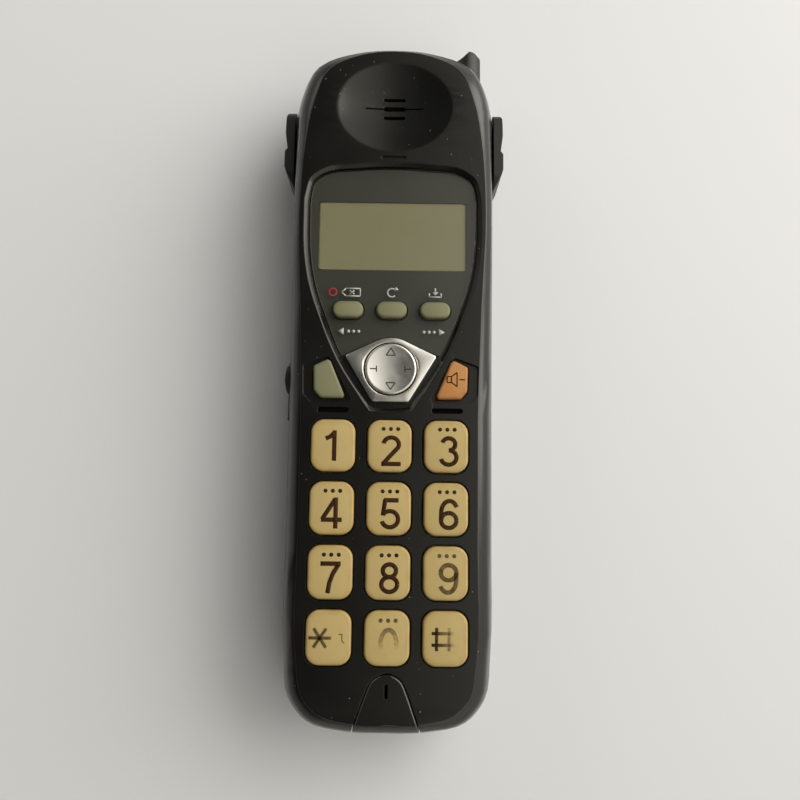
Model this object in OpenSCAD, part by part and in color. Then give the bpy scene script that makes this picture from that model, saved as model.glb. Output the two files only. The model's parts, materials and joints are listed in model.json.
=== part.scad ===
// Cordless telephone handset lying on its back: two moulded shells joined along the side,
// sprung keys, a chrome rocker, a slide-off battery door, a pull-off belt clip and a headset jack flap.
// Millimetres. +X to the right of the face, +Y towards the earpiece, +Z out of the face.
// The origin is under the middle of the handset, on the surface that its back rests on.

/* [Housing] */
// Width of the housing along the joint between its shells
body_w = 54; // [53:0.5:57]
// Width of the flat face beside the keys
face_w = 45; // [44.6:0.2:46]
// Width of the flat face beside the display
shoulder_w = 49.2; // [48.8:0.2:50.4]
// Height of the flat face above the back
face_z = 31; // [30.6:0.2:33]
// Height of the joint between the shells
joint_z = 15; // [14.6:0.1:15.6]
// Height of the back under the slim earpiece end
neck_z = 9; // [8.6:0.1:9.4]
// Thickness of the shells' side walls
wall = 2; // [1.8:0.1:2.2]
// Thickness of the face
face_wall = 2.5; // [2.4:0.1:2.8]
// Thickness of the back
back_wall = 2; // [1.8:0.1:2.2]

/* [Keys] */
// Distance between key columns
key_pitch_x = 14; // [13.8:0.1:14.2]
// Distance between key rows
key_pitch_y = 15.4; // [15.1:0.1:15.7]
// Width of a number key
key_w = 10.9; // [10.4:0.1:11.6]
// Length of a number key
key_l = 12.9; // [12.4:0.1:13.3]
// Corner radius of a number key
key_r = 3.2; // [2.6:0.1:4]
// Height of the keys above the face
key_rise = 1.4; // [1:0.1:1.8]
// Travel of every key
key_travel = 1; // [0.6:0.1:1.2]
// Gap between a key and its hole
key_gap = 0.35; // [0.3:0.05:0.45]
// Distance of the lowest key row from the end of the housing
keypad_from_end = 24.4; // [24:0.1:25.2]
// Width of a soft key
soft_w = 7.8; // [7:0.1:8.2]
// Length of a soft key
soft_l = 4.2; // [3.8:0.1:4.4]
// Distance between soft keys
soft_pitch = 11.1; // [10.8:0.1:11.4]

/* [Rocker and display] */
// Distance of the rocker above the top key row
nav_from_keys = 19.5; // [19.3:0.1:19.8]
// Radius of the rocker disc
nav_r = 6.5; // [6:0.1:6.7]
// Distance of the soft keys above the rocker
soft_from_nav = 15.3; // [15.1:0.1:15.5]
// Distance of the display's middle above the rocker
lcd_from_nav = 35.3; // [35:0.1:35.8]
// Width of the display's clear area
lcd_w = 38.8; // [37:0.2:39.4]
// Height of the display's clear area
lcd_l = 18.6; // [17:0.2:19]
// Thickness of the display window
window_t = 1.3; // [1.1:0.1:1.4]
// Thickness of the liquid crystal glass
lcd_t = 2.6; // [2.2:0.1:2.7]

/* [Earpiece and microphone] */
// Distance of the earpiece from the top end
ear_from_top = 18.3; // [18.1:0.1:18.8]
// Distance of the earpiece above the display's middle
ear_from_lcd = 35.5; // [34.6:0.1:40]
// Half width of the earpiece dish
dish_rx = 15.6; // [15:0.1:16]
// Half height of the earpiece dish
dish_ry = 13.2; // [12.8:0.1:13.4]
// Depth of the earpiece dish
dish_depth = 2; // [1.6:0.1:2.3]
// Radius of the earpiece capsule
receiver_r = 12.8; // [12:0.1:13]
// Distance of the microphone from the bottom end
mic_from_end = 11.9; // [11.6:0.1:12.2]
// Radius of the microphone capsule
mic_r = 3; // [2.6:0.1:3.2]

/* [Antenna] */
// Radius of the antenna stub
antenna_r = 3.9; // [3.6:0.1:4]
// Height of the antenna stub above the top end
antenna_rise = 6.7; // [6:0.1:9]
// Distance of the antenna from the side of the housing
antenna_from_side = 6.4; // [6.3:0.1:6.8]

/* [Battery] */
// Radius of a battery cell
cell_r = 5.2; // [5:0.05:5.25]
// Length of a battery cell
cell_l = 44.5; // [43:0.5:46]
// Width of the battery door
door_w = 39.4; // [39:0.2:40]
// Length of the battery door
door_len = 78; // [76:0.5:80]
// Thickness of the battery door
door_t = 1.8; // [1.6:0.1:1.9]

/* [Belt clip] */
// Thickness of the clip's blade
blade_t = 2.2; // [1.8:0.1:2.4]
// Width of the clip's blade
blade_w = 24; // [20:0.5:30]
// Length of the clip's blade
blade_len = 50; // [46:0.5:52]
// Length of the clip's side arms
arm_len = 18.4; // [17:0.1:19.6]

/* [Headset jack] */
// Radius of the headset socket
jack_bore_r = 1.27; // [1.25:0.01:1.4]
// Distance of the headset socket above the top key row
jack_from_keys = 16; // [15.7:0.1:16.2]
// Length of the flap over the socket
flap_len = 15.3; // [14.8:0.1:15.6]
// Height of the flap over the socket
flap_h = 6.2; // [6:0.1:6.4]

/* [Hidden] */
// Names of the pieces
// Piece to draw
$fn = 48;

// Clearances
run_gap = 0.3;      // between moving pieces
slide_gap = 0.1;    // between flat sliding faces
seat_gap = 0.1;     // between pieces that rest on each other
cut = 1;            // how far a cutter passes a face

// Lengthwise places: the keys, rocker, display and earpiece in a row set the length of the housing
body_len = keypad_from_end + 3*key_pitch_y + nav_from_keys + lcd_from_nav + ear_from_lcd + ear_from_top;
total_len = body_len + antenna_rise;
y_bot = -total_len/2;
y_top = y_bot + body_len;
y_row4 = y_bot + keypad_from_end;
y_row1 = y_row4 + 3*key_pitch_y;
y_nav = y_row1 + nav_from_keys;
y_soft = y_nav + soft_from_nav;
y_lcd = y_nav + lcd_from_nav;
y_ear = y_lcd + ear_from_lcd;
y_mic = y_bot + mic_from_end;
y_jack = y_row1 + jack_from_keys;

// Heights of the stack between the face and the board
ceiling_z = face_z - face_wall;
flange_t = 0.8;
flange_w = 0.8;
flange_z = ceiling_z - run_gap - flange_t;
board_drop = 5.3;
board_t = 1.6;
board_z = ceiling_z - board_drop;
mat_t = 1;
dome_h = 0.5;
dome_r = 2.2;
plunger_r = 2;
plunger_z = board_z + dome_h + key_travel + run_gap;
well_r = plunger_r + 0.6;
key_dome_r = 48;
soft_dome_r = 24;
side_dome_r = 40;
low_key = 0.6;      // how much lower the soft keys and side keys stand

// Outlines of the flat face and of the joint, right half from the bottom end to the top end
face_drop_top = 1.8;
face_drop_top_len = 30;
face_drop_bot = 0.6;
face_drop_bot_len = 9;
face_half = face_w/2;
shoulder_half = shoulder_w/2;
joint_half = body_w/2;
outline_steps = 4;
face_outline = [
    [0, y_bot + 4], [9.5, y_bot + 4.3], [face_half - 6, y_bot + 6.3], [face_half - 2.1, y_bot + 10.4],
    [face_half - 0.6, y_bot + 18], [face_half - 0.1, y_bot + 45], [face_half, y_row1 + 8],
    [(face_half + shoulder_half)/2 - 0.1, y_nav + 16.5], [shoulder_half, y_nav + 40.5],
    [shoulder_half - 0.9, y_top - 29.4], [shoulder_half - 3.1, y_top - 16.3],
    [shoulder_half - 6.8, y_top - 7.4], [9.5, y_top - 3], [0, y_top - 1.7]
];
joint_outline = [
    [0, y_bot], [11, y_bot + 0.5], [joint_half - 6.6, y_bot + 2.8], [joint_half - 1.9, y_bot + 8.6],
    [joint_half - 0.6, y_bot + 19], [joint_half - 0.2, y_bot + 45], [joint_half - 0.1, y_row1 + 8],
    [joint_half, y_nav + 16.5], [joint_half, y_nav + 40.5],
    [joint_half, y_top - 28.6], [joint_half - 0.5, y_top - 13.1],
    [joint_half - 4.4, y_top - 4], [12, y_top - 0.8], [0, y_top]
];

// Shield-shaped recess around the display window and the rocker's bezel, from the rocker's middle
shield_rim = 0.9;
shield_bow = 0.3;
window_gap = 0.5;
window_foot = 3;
shield_depth = 1.7;
shield_floor_z = face_z - shield_depth;
shield_outline = [
    [5.2, y_nav - 10.6], [13.6, y_nav + 2.4], [18, y_nav + 12.7], [21.4, y_nav + 23.1],
    [22.7, y_nav + 32], [22.9, y_nav + 39.5], [22.6, y_nav + 46.8], [21.4, y_nav + 50.6],
    [18.6, y_nav + 52.8], [9.5, y_nav + 54.4], [0, y_nav + 54.9]
];

// Battery bay and door
bay_wall = 1.4;
bay_clear = 0.5;
cell_pitch = 2*cell_r + 0.15;
bay_half = cell_pitch + cell_r + bay_clear;
bay_end_room = 2.6;
bay_y0 = y_bot + 18;
bay_y1 = bay_y0 + cell_l + 2*bay_end_room;
cell_z = door_t + run_gap + cell_r;
bay_roof_z = cell_z + cell_r + bay_clear;
door_y1 = y_bot + door_len;
door_half = door_w/2;
tongue_w = 1;
tongue_t = 0.7;
tongue_z = 0.6;

// Belt clip
clip_gap = 0.4;
arm_x = joint_half + clip_gap;
arm_t = 2.7;
arm_taper = 3.4;
arm_from_top = 14.3;
arm_y1 = y_top - arm_from_top;
arm_y0 = arm_y1 - arm_len;
clip_join = 0.2;    // how far the clip's bend runs into its blade and bridge
arm_top_z = joint_z + 6;
clip_lift = 0.5;
blade_gap = 3;
bridge_z = clip_lift + blade_t + blade_gap;
groove_w = 6;
groove_d = 1.3;
groove_top_z = joint_z - 1;
nub_d = 0.9;

// Headset jack in the left wall
jack_z = 19;
jack_r = 2.5;
jack_l = 11;
flap_t = 1.1;
jack_floor_x = -(joint_half - 1.5);
flap_x = jack_floor_x - seat_gap - flap_t/2;
flap_reach = 6.9;
flap_y0 = y_jack - flap_len + flap_reach;
flap_end_gap = 0.6;
barrel_r = 0.65;
pad_rise = 1.5;
pad_dome_r = 9;
pad_len = 7.6;
pad_inset = 0.2;

// Screws
boss_r = 2.6;
pilot_r = 1.05;
screw_r = 1;
head_r = 2.2;
head_t = 1.5;
post_r = 1.8;
screw_top_in = 6.8;     // case screws at the top, from the side of the housing
screw_top_y = 31.2;     // and from its top end
screw_bot_in = 10.6;    // case screws at the bottom, from the side of the housing
screw_bot_y = 9.9;      // and from its bottom end
case_screws_top = [for (s = [-1, 1]) [s*(joint_half - screw_top_in), y_top - screw_top_y]];
case_screws_bot = [for (s = [-1, 1]) [s*(joint_half - screw_bot_in), y_bot + screw_bot_y]];
post_bot_y = 13.6;      // lower board posts, from the bottom end
post_top_x = 19.3;      // upper board posts, from the middle
post_top_y = 9.6;       // and above the rocker
board_posts = concat([for (s = [-1, 1]) [s*key_pitch_x/2, y_bot + post_bot_y]],
                     [for (s = [-1, 1]) [s*post_top_x, y_nav + post_top_y]]);
boss_hole_z = face_z - 9;

// Antenna
antenna_x = joint_half - antenna_from_side;
antenna_z = joint_z - 2;
antenna_root_y = y_top - 9;
scoop_r = 4.5;

// Loudspeaker behind the neck
speaker_r = 10;
speaker_t = 4;
speaker_from_nav = 38;
speaker_y = y_nav + speaker_from_nav;

KEYS = [
    ["key_1", -1, 0], ["key_2", 0, 0], ["key_3", 1, 0],
    ["key_4", -1, 1], ["key_5", 0, 1], ["key_6", 1, 1],
    ["key_7", -1, 2], ["key_8", 0, 2], ["key_9", 1, 2],
    ["key_star", -1, 3], ["key_0", 0, 3], ["key_hash", 1, 3]
];
function key_place(k) = [k[1]*key_pitch_x, y_row1 - k[2]*key_pitch_y];
KEY_PLACES = [for (k = KEYS) key_place(k)];
SOFT_PLACES = [for (i = [-1:1]) [i*soft_pitch, y_soft]];
// Plunger places of the two side keys and the rocker's four feet
SIDE_PLACES = [for (s = [-1, 1]) [s*16.2, y_nav - 3.6]];
foot_r = 5.4;
FEET = [for (a = [0:90:270]) [foot_r*cos(a), y_nav + foot_r*sin(a)]];
PRESS_PLACES = concat(KEY_PLACES, SOFT_PLACES, SIDE_PLACES, FEET);

// Display module under the window: glass on a frame that stands on the board
lcd_top_z = ceiling_z - seat_gap;
frame_top_z = lcd_top_z - lcd_t;
frame_w = lcd_w + 5.6;
frame_l = lcd_l + 8;

// Board, and the radio's shielding can on its back
board_w = 41.6;
board_r = 6;
board_y0 = y_bot + 8.3;
board_over = 5.3;   // how far the board runs on past the display's frame
board_y1 = y_lcd + frame_l/2 + board_over;
can_w = 32;
can_l = 24;
can_h = 3.2;
can_t = 0.5;

// Gap round the microphone's tongue
tongue_gap = 0.3;

// Thickening under the earpiece dish
dish_pad = 1.6;

// Rocker: the pivot ball's middle, and the plate and disc it carries
nav_gap = 0.45;
pivot_r = 1.4;
pivot_post_r = 1.2;
pivot_z = face_z - 2;
rocker_z = ceiling_z - 2.05;
disc_z = face_z - 0.9;
disc_top_z = face_z + 0.6;

// Curves
function flip(p) = [-p[0], p[1]];
function tangent(a, b, c) =
    let (h0 = norm(b - a), h1 = norm(c - b)) ((b - a)*h1/h0 + (c - b)*h0/h1)/(h0 + h1);
function hermite(a, ta, b, tb, t) =
    a*(2*t*t*t - 3*t*t + 1) + ta*(t*t*t - 2*t*t + t) + b*(3*t*t - 2*t*t*t) + tb*(t*t*t - t*t);
// Tangents of a half outline, whose last point, and first if on_axis, lies on the mirror line
function tangents(ctrl, on_axis) =
    let (n = len(ctrl),
         before = on_axis ? flip(ctrl[1]) : 2*ctrl[0] - ctrl[1],
         run = concat([before], ctrl, [flip(ctrl[n - 2])]))
    [for (i = [1:n]) tangent(run[i - 1], run[i], run[i + 1])];
// Control points moved inwards by d
function inset(ctrl, d, on_axis = true) =
    let (t = tangents(ctrl, on_axis))
    [for (i = [0:len(ctrl) - 1]) ctrl[i] - d*[t[i][1], -t[i][0]]/norm(t[i])];
function half_curve(ctrl, on_axis, steps) =
    let (t = tangents(ctrl, on_axis), n = len(ctrl))
    concat([for (i = [0:n - 2], k = [0:steps - 1])
            let (h = norm(ctrl[i + 1] - ctrl[i]))
            hermite(ctrl[i], t[i]*h, ctrl[i + 1], t[i + 1]*h, k/steps)],
           [[0, ctrl[n - 1][1]]]);
// Right half, then the same points mirrored back down the left side
function closed(half) =
    let (n = len(half), on_axis = abs(half[0][0]) < 0.001)
    concat(half, [for (i = [n - 2:-1:on_axis ? 1 : 0]) flip(half[i])]);
function outline(ctrl, d = 0) = closed(half_curve(inset(ctrl, d), true, outline_steps));
// The same control points with the first one at height y
function upper(ctrl, y) = concat([[ctrl[0][0], y]], [for (i = [1:len(ctrl) - 1]) ctrl[i]]);
function shield(d) =
    let (ctrl = inset(shield_outline, d, false), foot_y = shield_outline[0][1] + d)
    closed(concat([[0, foot_y - shield_bow]], half_curve(upper(ctrl, foot_y), false, outline_steps)));
function ellipse(rx, ry, y, n) = [for (i = [0:n - 1]) let (a = 360*i/n - 90) [rx*cos(a), y + ry*sin(a)]];
function blend(a, b, t) = [for (i = [0:len(a) - 1]) a[i] + (b[i] - a[i])*t];
function smooth(t) = let (c = min(1, max(0, t))) c*c*(3 - 2*c);
function lift(points, height) = [for (p = points) [p[0], p[1], height(p[1])]];

// Heights along the handset
function face_height(y) =
    let (a = max(0, y - (y_top - face_drop_top_len)), b = max(0, y_bot + face_drop_bot_len - y))
    face_z - face_drop_top*pow(a/face_drop_top_len, 2) - face_drop_bot*pow(b/face_drop_bot_len, 2);
ramp_y0 = y_bot + 90;
ramp_len = 22;
function back_height(y) = neck_z*smooth((y - ramp_y0)/ramp_len);

// Closed solid through rings of points that mirror left to right, listed from the top ring down
module loft(rings) {
    m = len(rings[0]);
    n = m/2;
    last = (len(rings) - 1)*m;
    sides = [for (k = [0:len(rings) - 2], i = [0:m - 1])
             let (a = k*m + i, b = k*m + (i + 1)%m)
             each [[a, b, b + m], [a, b + m, a + m]]];
    across = [for (i = [1:n - 2]) [m - i, i, i + 1, m - i - 1]];
    strips = concat([[m - 1, 0, 1]], across, [[n - 1, n, n + 1]]);
    top = [for (s = strips) [for (i = [len(s) - 1:-1:0]) s[i]]];
    bottom = [for (s = strips) [for (i = s) last + i]];
    polyhedron([for (r = rings) each r], concat(top, sides, bottom), convexity = 6);
}

// Side of the front shell: u is 0 at the face and 1 at the joint
function front_ring(u, d) =
    lift(outline(blend(face_outline, joint_outline, sqrt(1 - (1 - u)*(1 - u))), d),
         function (y) face_height(y) - u*(face_height(y) - joint_z));
module front_body() {
    edge = 0.35;
    loft(concat([lift(outline(face_outline, edge), function (y) face_height(y))],
                [lift(outline(face_outline), function (y) face_height(y) - edge)],
                [for (u = [0.08, 0.22, 0.45, 0.72, 1]) front_ring(u, 0)]));
}
module front_cavity() {
    top_u = face_wall/(face_z - joint_z);
    loft([front_ring(top_u, wall + 0.3), front_ring(0.5, wall),
          lift(outline(joint_outline, wall), function (y) joint_z - cut)]);
}
// Back of the rear shell: u is 0 at the joint and 1 at the back
function rear_ring(u, d, floor_t = 0) =
    lift(outline(joint_outline, d), function (y) joint_z - u*(joint_z - back_height(y) - floor_t));
module rear_body() {
    rings = [[0, 0], [0.3, 0.3], [0.6, 1], [0.8, 2.1], [0.93, 3.7], [1, 5.6]];
    loft([for (r = rings) rear_ring(r[0], r[1])]);
}
module rear_cavity() {
    loft(concat([lift(outline(joint_outline, wall), function (y) joint_z + cut)],
                [for (r = [[0.6, wall + 0.9], [1, wall + 3.4]]) rear_ring(r[0], r[1], back_wall)]));
}

// Plain shapes
module rrect(w, l, r) {
    square([w - 2*r, l], center = true);
    square([w, l - 2*r], center = true);
    for (x = [-1, 1], y = [-1, 1]) translate([x*(w/2 - r), y*(l/2 - r)]) circle(r);
}
module pill(w, l) {
    square([w - l, l], center = true);
    for (s = [-1, 1]) translate([s*(w - l)/2, 0]) circle(l/2);
}
module slab(z0, z1) translate([0, 0, z0]) linear_extrude(z1 - z0) children();
module rod(p, r, z0, z1) translate([p[0], p[1], z0]) cylinder(r = r, h = z1 - z0);
module rod_x(p, r, x0, x1) translate([x0, p[0], p[1]]) rotate([0, 90, 0]) cylinder(r = r, h = x1 - x0);
module ball(p, r) translate(p) rotate([90, 0, 0]) sphere(r = r, $fn = 96);

// Talk and speaker keys: the speaker key on the right, the talk key its mirror image
side_key = [[11.2, -7.6], [17.6, -7.5], [19.3, -5.6], [19.5, 0.6], [16, 2.3], [15.2, 1.9]];
side_pocket = [[10, -7.6], [10.6, -8.6], [20, -8.4], [22, -6.6], [22.2, 0.9], [15.8, 3.2]];
module side_shape(points, grow) {
    round_r = 0.8;
    translate([0, y_nav]) offset(r = round_r, $fn = 24) offset(delta = grow - round_r) polygon(points);
}
module key_press(places) {
    for (p = places) rod(p, plunger_r, plunger_z, flange_z + 0.1);
}

// Rocker bezel: a pentagon with an arched top
bezel_r = 8.1;
bezel_corner = [11.7, 3.4];
bezel_foot = [4.6, -8.3];
module bezel_shape(grow) {
    offset(delta = grow) {
        polygon([bezel_corner, bezel_foot, flip(bezel_foot), flip(bezel_corner)]);
        hull() {
            circle(bezel_r);
            for (s = [-1, 1]) translate([s*(bezel_corner[0] - 0.3), bezel_corner[1] - 0.1]) circle(0.3);
        }
    }
}

module tongue_shape(grow) {
    side = [[8.7, -cut], [7.7, 3.4], [6.4, 7.2], [5, 11], [3.3, 14.4]];
    ctrl = concat([for (p = side) [p[0] + grow, y_bot + p[1]]], [[0, y_bot + 15.8 + grow]]);
    polygon(closed(half_curve(ctrl, false, outline_steps)));
}
module ear_slots() {
    pitch = 2.6;
    for (i = [-1:1]) translate([0, y_ear + i*pitch]) pill(5.9, i == 0 ? 1.3 : 0.9);
    translate([0, y_ear]) square([15.6, 0.4], center = true);
}
module dish() {
    rings = [1.06, 1, 0.94, 0.86, 0.75, 0.58, 0.35, 0.15];
    loft([for (r = rings)
          lift(ellipse(r*dish_rx, r*dish_ry, y_ear, 60),
               function (y) face_height(y) - dish_depth*(1 - r*r))]);
}
module antenna_rod(r, y0, y1) {
    translate([antenna_x, y0, antenna_z]) rotate([-90, 0, 0]) cylinder(r = r, h = y1 - y0);
}

module front_bosses() {
    for (p = concat(case_screws_top, case_screws_bot)) rod(p, boss_r, joint_z - 2*cut, ceiling_z + 0.5);
    for (p = board_posts) rod(p, post_r, board_z, ceiling_z + 0.5);
    slab(ceiling_z - dish_pad, ceiling_z + 0.4) polygon(ellipse(dish_rx - 1.2, dish_ry - 1, y_ear, 44));
    slab(board_z - 1, ceiling_z) translate([0, y_ear]) difference() {
        circle(receiver_r + 1.4);
        circle(receiver_r + run_gap);
    }
}
module front_cover() color("#1d1e1c") difference() {
    front_body();
    difference() {
        front_cavity();
        front_bosses();
    }
    loft([lift(shield(-0.4), function (y) face_z + 0.4),
          lift(shield(shield_rim), function (y) face_z - shield_rim),
          lift(shield(shield_rim), function (y) shield_floor_z)]);
    slab(ceiling_z - cut, face_z) {
        translate([0, y_lcd]) rrect(lcd_w + 0.6, lcd_l + 0.6, 0.8);
        for (p = SOFT_PLACES) translate(p) pill(soft_w + 2*key_gap, soft_l + 2*key_gap);
        translate([0, y_nav]) circle(nav_r + 1);
    }
    slab(ceiling_z - cut, face_z + cut)
        for (p = KEY_PLACES) translate(p) rrect(key_w + 2*key_gap, key_l + 2*key_gap, key_r + key_gap);
    for (s = [0, 1]) mirror([s, 0, 0]) {
        slab(face_z - 1.1, face_z + cut) side_shape(side_pocket, 0);
        slab(ceiling_z - cut, face_z) side_shape(side_key, key_gap);
        slab(face_z - 0.5, face_z + cut) translate([14.3, y_row1 + 9]) pill(7.8, 1.3);
    }
    slab(face_z - 0.5, face_z + cut) translate([0, y_ear - dish_ry - 1.4]) pill(6.5, 1.1);
    dish();
    slab(ceiling_z - 3, face_z) ear_slots();
    slab(joint_z - cut, face_z + cut) tongue_shape(tongue_gap);
    translate([-joint_half - cut, flap_y0 - barrel_r - run_gap, jack_z - flap_h/2 - run_gap])
        cube([joint_half + cut + jack_floor_x, flap_len + 2*run_gap + barrel_r, flap_h + 2*run_gap]);
    rod_x([y_jack, jack_z], jack_r + run_gap, -joint_half, -joint_half + 2*wall + 2);
    for (p = concat(case_screws_top, case_screws_bot)) rod(p, pilot_r, joint_z - cut, boss_hole_z);
    for (p = board_posts) rod(p, pilot_r - 0.2, board_z - cut, ceiling_z - 0.5);
    antenna_rod(antenna_r + seat_gap, antenna_root_y, y_top + cut);
}

module bay_box() {
    translate([-bay_half - bay_wall, bay_y0 - bay_wall, back_wall/2])
        cube([2*(bay_half + bay_wall), bay_y1 - bay_y0 + 2*bay_wall,
              bay_roof_z + bay_wall - back_wall/2]);
}
module door_space(gap) {
    // Plate with a tongue along each side, open through the bottom end
    translate([-door_half - gap, y_bot - cut, -cut])
        cube([2*(door_half + gap), door_len + cut + gap, door_t + cut + gap]);
    translate([-door_half - tongue_w - gap, y_bot - cut, tongue_z - gap])
        cube([2*(door_half + tongue_w + gap), door_len + cut + gap - 6, tongue_t + 2*gap]);
}
module clip_grooves() {
    for (s = [0, 1]) mirror([s, 0, 0])
        translate([joint_half - groove_d, arm_y0 + arm_len/2 - groove_w/2, -cut])
            cube([groove_d + cut, groove_w, groove_top_z + cut]);
}
module rear_posts() {
    for (p = concat(case_screws_top, case_screws_bot)) rod(p, boss_r + 0.6, 0, joint_z + 2*cut);
    // Backing behind the clip grooves
    for (s = [0, 1]) mirror([s, 0, 0])
        translate([joint_half - wall - 2, arm_y0 + arm_len/2 - groove_w/2 - 1.5, 0])
            cube([2.4, groove_w + 3, joint_z + 2*cut]);
    // Ring that holds the loudspeaker
    slab(neck_z + 0.5, joint_z - 0.8) translate([0, speaker_y]) difference() {
        circle(speaker_r + 1.5);
        circle(speaker_r + run_gap);
    }
}
module rear_cover() color("#1b1c1b") difference() {
    rear_body();
    difference() {
        rear_cavity();
        bay_box();
        rear_posts();
    }
    translate([-bay_half, bay_y0, -cut]) cube([2*bay_half, bay_y1 - bay_y0, bay_roof_z + cut]);
    door_space(slide_gap);
    clip_grooves();
    for (p = case_screws_top) {
        rod(p, screw_r + run_gap, 0, joint_z + cut);
        rod(p, head_r + run_gap, -cut, neck_z + 2);
    }
    for (p = case_screws_bot) {
        rod(p, screw_r + run_gap, 0, joint_z + cut);
        rod(p, head_r + run_gap, -cut, neck_z - 2);
    }
    slab(0, neck_z + back_wall + cut)
        for (i = [-2:2]) translate([0, speaker_y + i*2.8]) pill(14 - 2*abs(i), 1.2);
    for (s = [-1, 1]) translate([s*9 - 2.6, y_bot - cut, 5.4]) cube([5.2, cut + 2.6 + wall, 6.2]);
    antenna_rod(antenna_r + seat_gap, antenna_root_y, y_top + cut);
}

module battery_door() color("#1b1c1b") difference() {
    intersection() {
        rear_body();
        door_space(0);
    }
    // Grip ribs near the upper edge
    for (i = [0:5]) translate([-8, door_y1 - 16 + i*2, -cut]) cube([16, 1, cut + 0.5]);
}
module display_window() color("#3a3d36", 0.6) slab(shield_floor_z, shield_floor_z + window_t) difference() {
    polygon(shield(shield_rim + window_gap));
    translate([0, y_nav]) bezel_shape(0.3);
    translate([-joint_half, y_bot]) square([body_w, y_nav + window_foot - y_bot]);
    for (p = SOFT_PLACES) translate(p) pill(soft_w + 2*key_gap, soft_l + 2*key_gap);
}
module nav_bezel() color("#c9c8c4") translate([0, y_nav, 0]) difference() {
    union() {
        slab(shield_floor_z, face_z - 0.4) bezel_shape(0);
        slab(face_z - 0.4, face_z + 0.2) bezel_shape(-0.4);
    }
    rod([0, 0], nav_r + nav_gap, shield_floor_z - cut, face_z + cut);
    translate([0, 0, face_z - 0.5]) cylinder(r1 = nav_r + nav_gap, r2 = nav_r + nav_gap + 0.9, h = 0.9);
}
module mic_tongue() color("#1d1e1c") difference() {
    intersection() {
        front_body();
        slab(joint_z - cut, face_z + cut) tongue_shape(0);
    }
    front_cavity();
    slab(joint_z + cut, face_z + cut) translate([0, y_mic]) rotate(90) pill(3.4, 0.8);
}
module antenna_stub() color("#242524") difference() {
    union() {
        antenna_rod(antenna_r, antenna_root_y + seat_gap, y_top + antenna_rise - 1.6);
        translate([antenna_x, y_top + antenna_rise - 1.6, antenna_z]) rotate([-90, 0, 0])
            cylinder(r1 = antenna_r, r2 = antenna_r - 1.1, h = 1.6);
    }
    antenna_rod(antenna_r - 1.4, antenna_root_y - cut, y_top + 2);
    rod([antenna_x - antenna_r, y_top + antenna_rise + 1.4], scoop_r, antenna_z - 10, antenna_z + 10);
}
module antenna_coil() color("#b87333") {
    turns = 5;
    pitch = 1.6;
    start = antenna_root_y + 1.2;
    difference() {
        union() {
            antenna_rod(antenna_r - 1.8, start, start + turns*pitch);
            for (i = [0:turns - 1]) antenna_rod(antenna_r - 1.5, start + i*pitch, start + (i + 0.5)*pitch);
        }
        antenna_rod(antenna_r - 2.4, start - cut, start + turns*pitch + cut);
    }
}
module belt_clip() color("#161716") {
    mid = arm_y0 + arm_len/2;
    edge = arm_x + arm_t;
    arm = [[arm_x, arm_y0 - arm_taper], [arm_x + 0.4, arm_y0 - arm_taper], [edge - 0.5, arm_y0],
           [edge, arm_y0 + 1.6], [edge, mid - 3.2], [edge - 0.7, mid - 2.4], [edge - 0.1, mid + 2.2],
           [edge - 0.2, arm_y1 - 2], [edge - 0.6, arm_y1], [arm_x, arm_y1]];
    // Arms with rounded tops, and the ribs inside them that run in the rear shell's grooves
    for (s = [0, 1]) mirror([s, 0, 0]) {
        intersection() {
            slab(bridge_z, arm_top_z) polygon(arm);
            translate([arm_x - cut, mid - arm_taper/2, bridge_z]) rotate([90, 0, 90])
                linear_extrude(arm_t + 2*cut) rrect(arm_len + arm_taper, 2*(arm_top_z - bridge_z), 4);
        }
        translate([arm_x - clip_gap - nub_d, mid - groove_w/2 + run_gap, neck_z + 0.4])
            cube([nub_d + clip_gap + 0.1, groove_w - 2*run_gap, groove_top_z - neck_z - 0.8]);
    }
    slab(bridge_z, bridge_z + blade_t) translate([0, mid]) rrect(2*edge - 1, arm_len, 3);
    // Blade, turned back under the bridge at its upper end, with a rounded catch at its free end
    bend_r = (bridge_z + blade_t - clip_lift)/2;
    slab(clip_lift, clip_lift + blade_t) {
        translate([0, arm_y1 - blade_len/2]) rrect(blade_w, blade_len, 5);
        translate([-blade_w/2, arm_y1 - 10]) square([blade_w, 10]);
    }
    translate([0, arm_y1, clip_lift + bend_r]) rotate([0, 90, 0]) linear_extrude(blade_w, center = true)
        intersection() {
            difference() {
                circle(bend_r);
                circle(bend_r - blade_t);
            }
            translate([-bend_r, -clip_join]) square([2*bend_r, bend_r + clip_join + cut]);
        }
    translate([0, arm_y1 - blade_len + 4, clip_lift + blade_t - 0.2]) rotate([0, 90, 0])
        cylinder(r = 1.2, h = blade_w - 8, center = true);
}
module jack_flap() color("#2a2724") {
    plate_y = flap_len - flap_end_gap;
    translate([flap_x, flap_y0, jack_z - flap_h/2]) {
        cylinder(r = barrel_r, h = flap_h);
        translate([-flap_t/2, 0, 0]) cube([flap_t, plate_y, flap_h]);
    }
    // Raised thumb pad over the socket
    translate([flap_x, flap_y0 + plate_y - pad_inset - pad_len/2, jack_z]) intersection() {
        rotate([0, -90, 0]) linear_extrude(flap_t/2 + pad_rise + cut) rotate(90) pill(pad_len, flap_h - 2*pad_inset);
        ball([pad_dome_r - flap_t/2 - pad_rise, 0, 0], pad_dome_r);
    }
}
module headset_jack() color("#30302e") {
    face_x = jack_floor_x + 0.2;
    difference() {
        union() {
            rod_x([y_jack, jack_z], jack_r, face_x, face_x + jack_l);
            translate([face_x + wall + 1, y_jack - 3, jack_z - jack_r])
                cube([jack_l - wall - 1, 6, board_z - board_t - jack_z + jack_r - seat_gap]);
        }
        rod_x([y_jack, jack_z], jack_bore_r, face_x - cut, face_x + jack_l - 1);
    }
}

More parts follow.
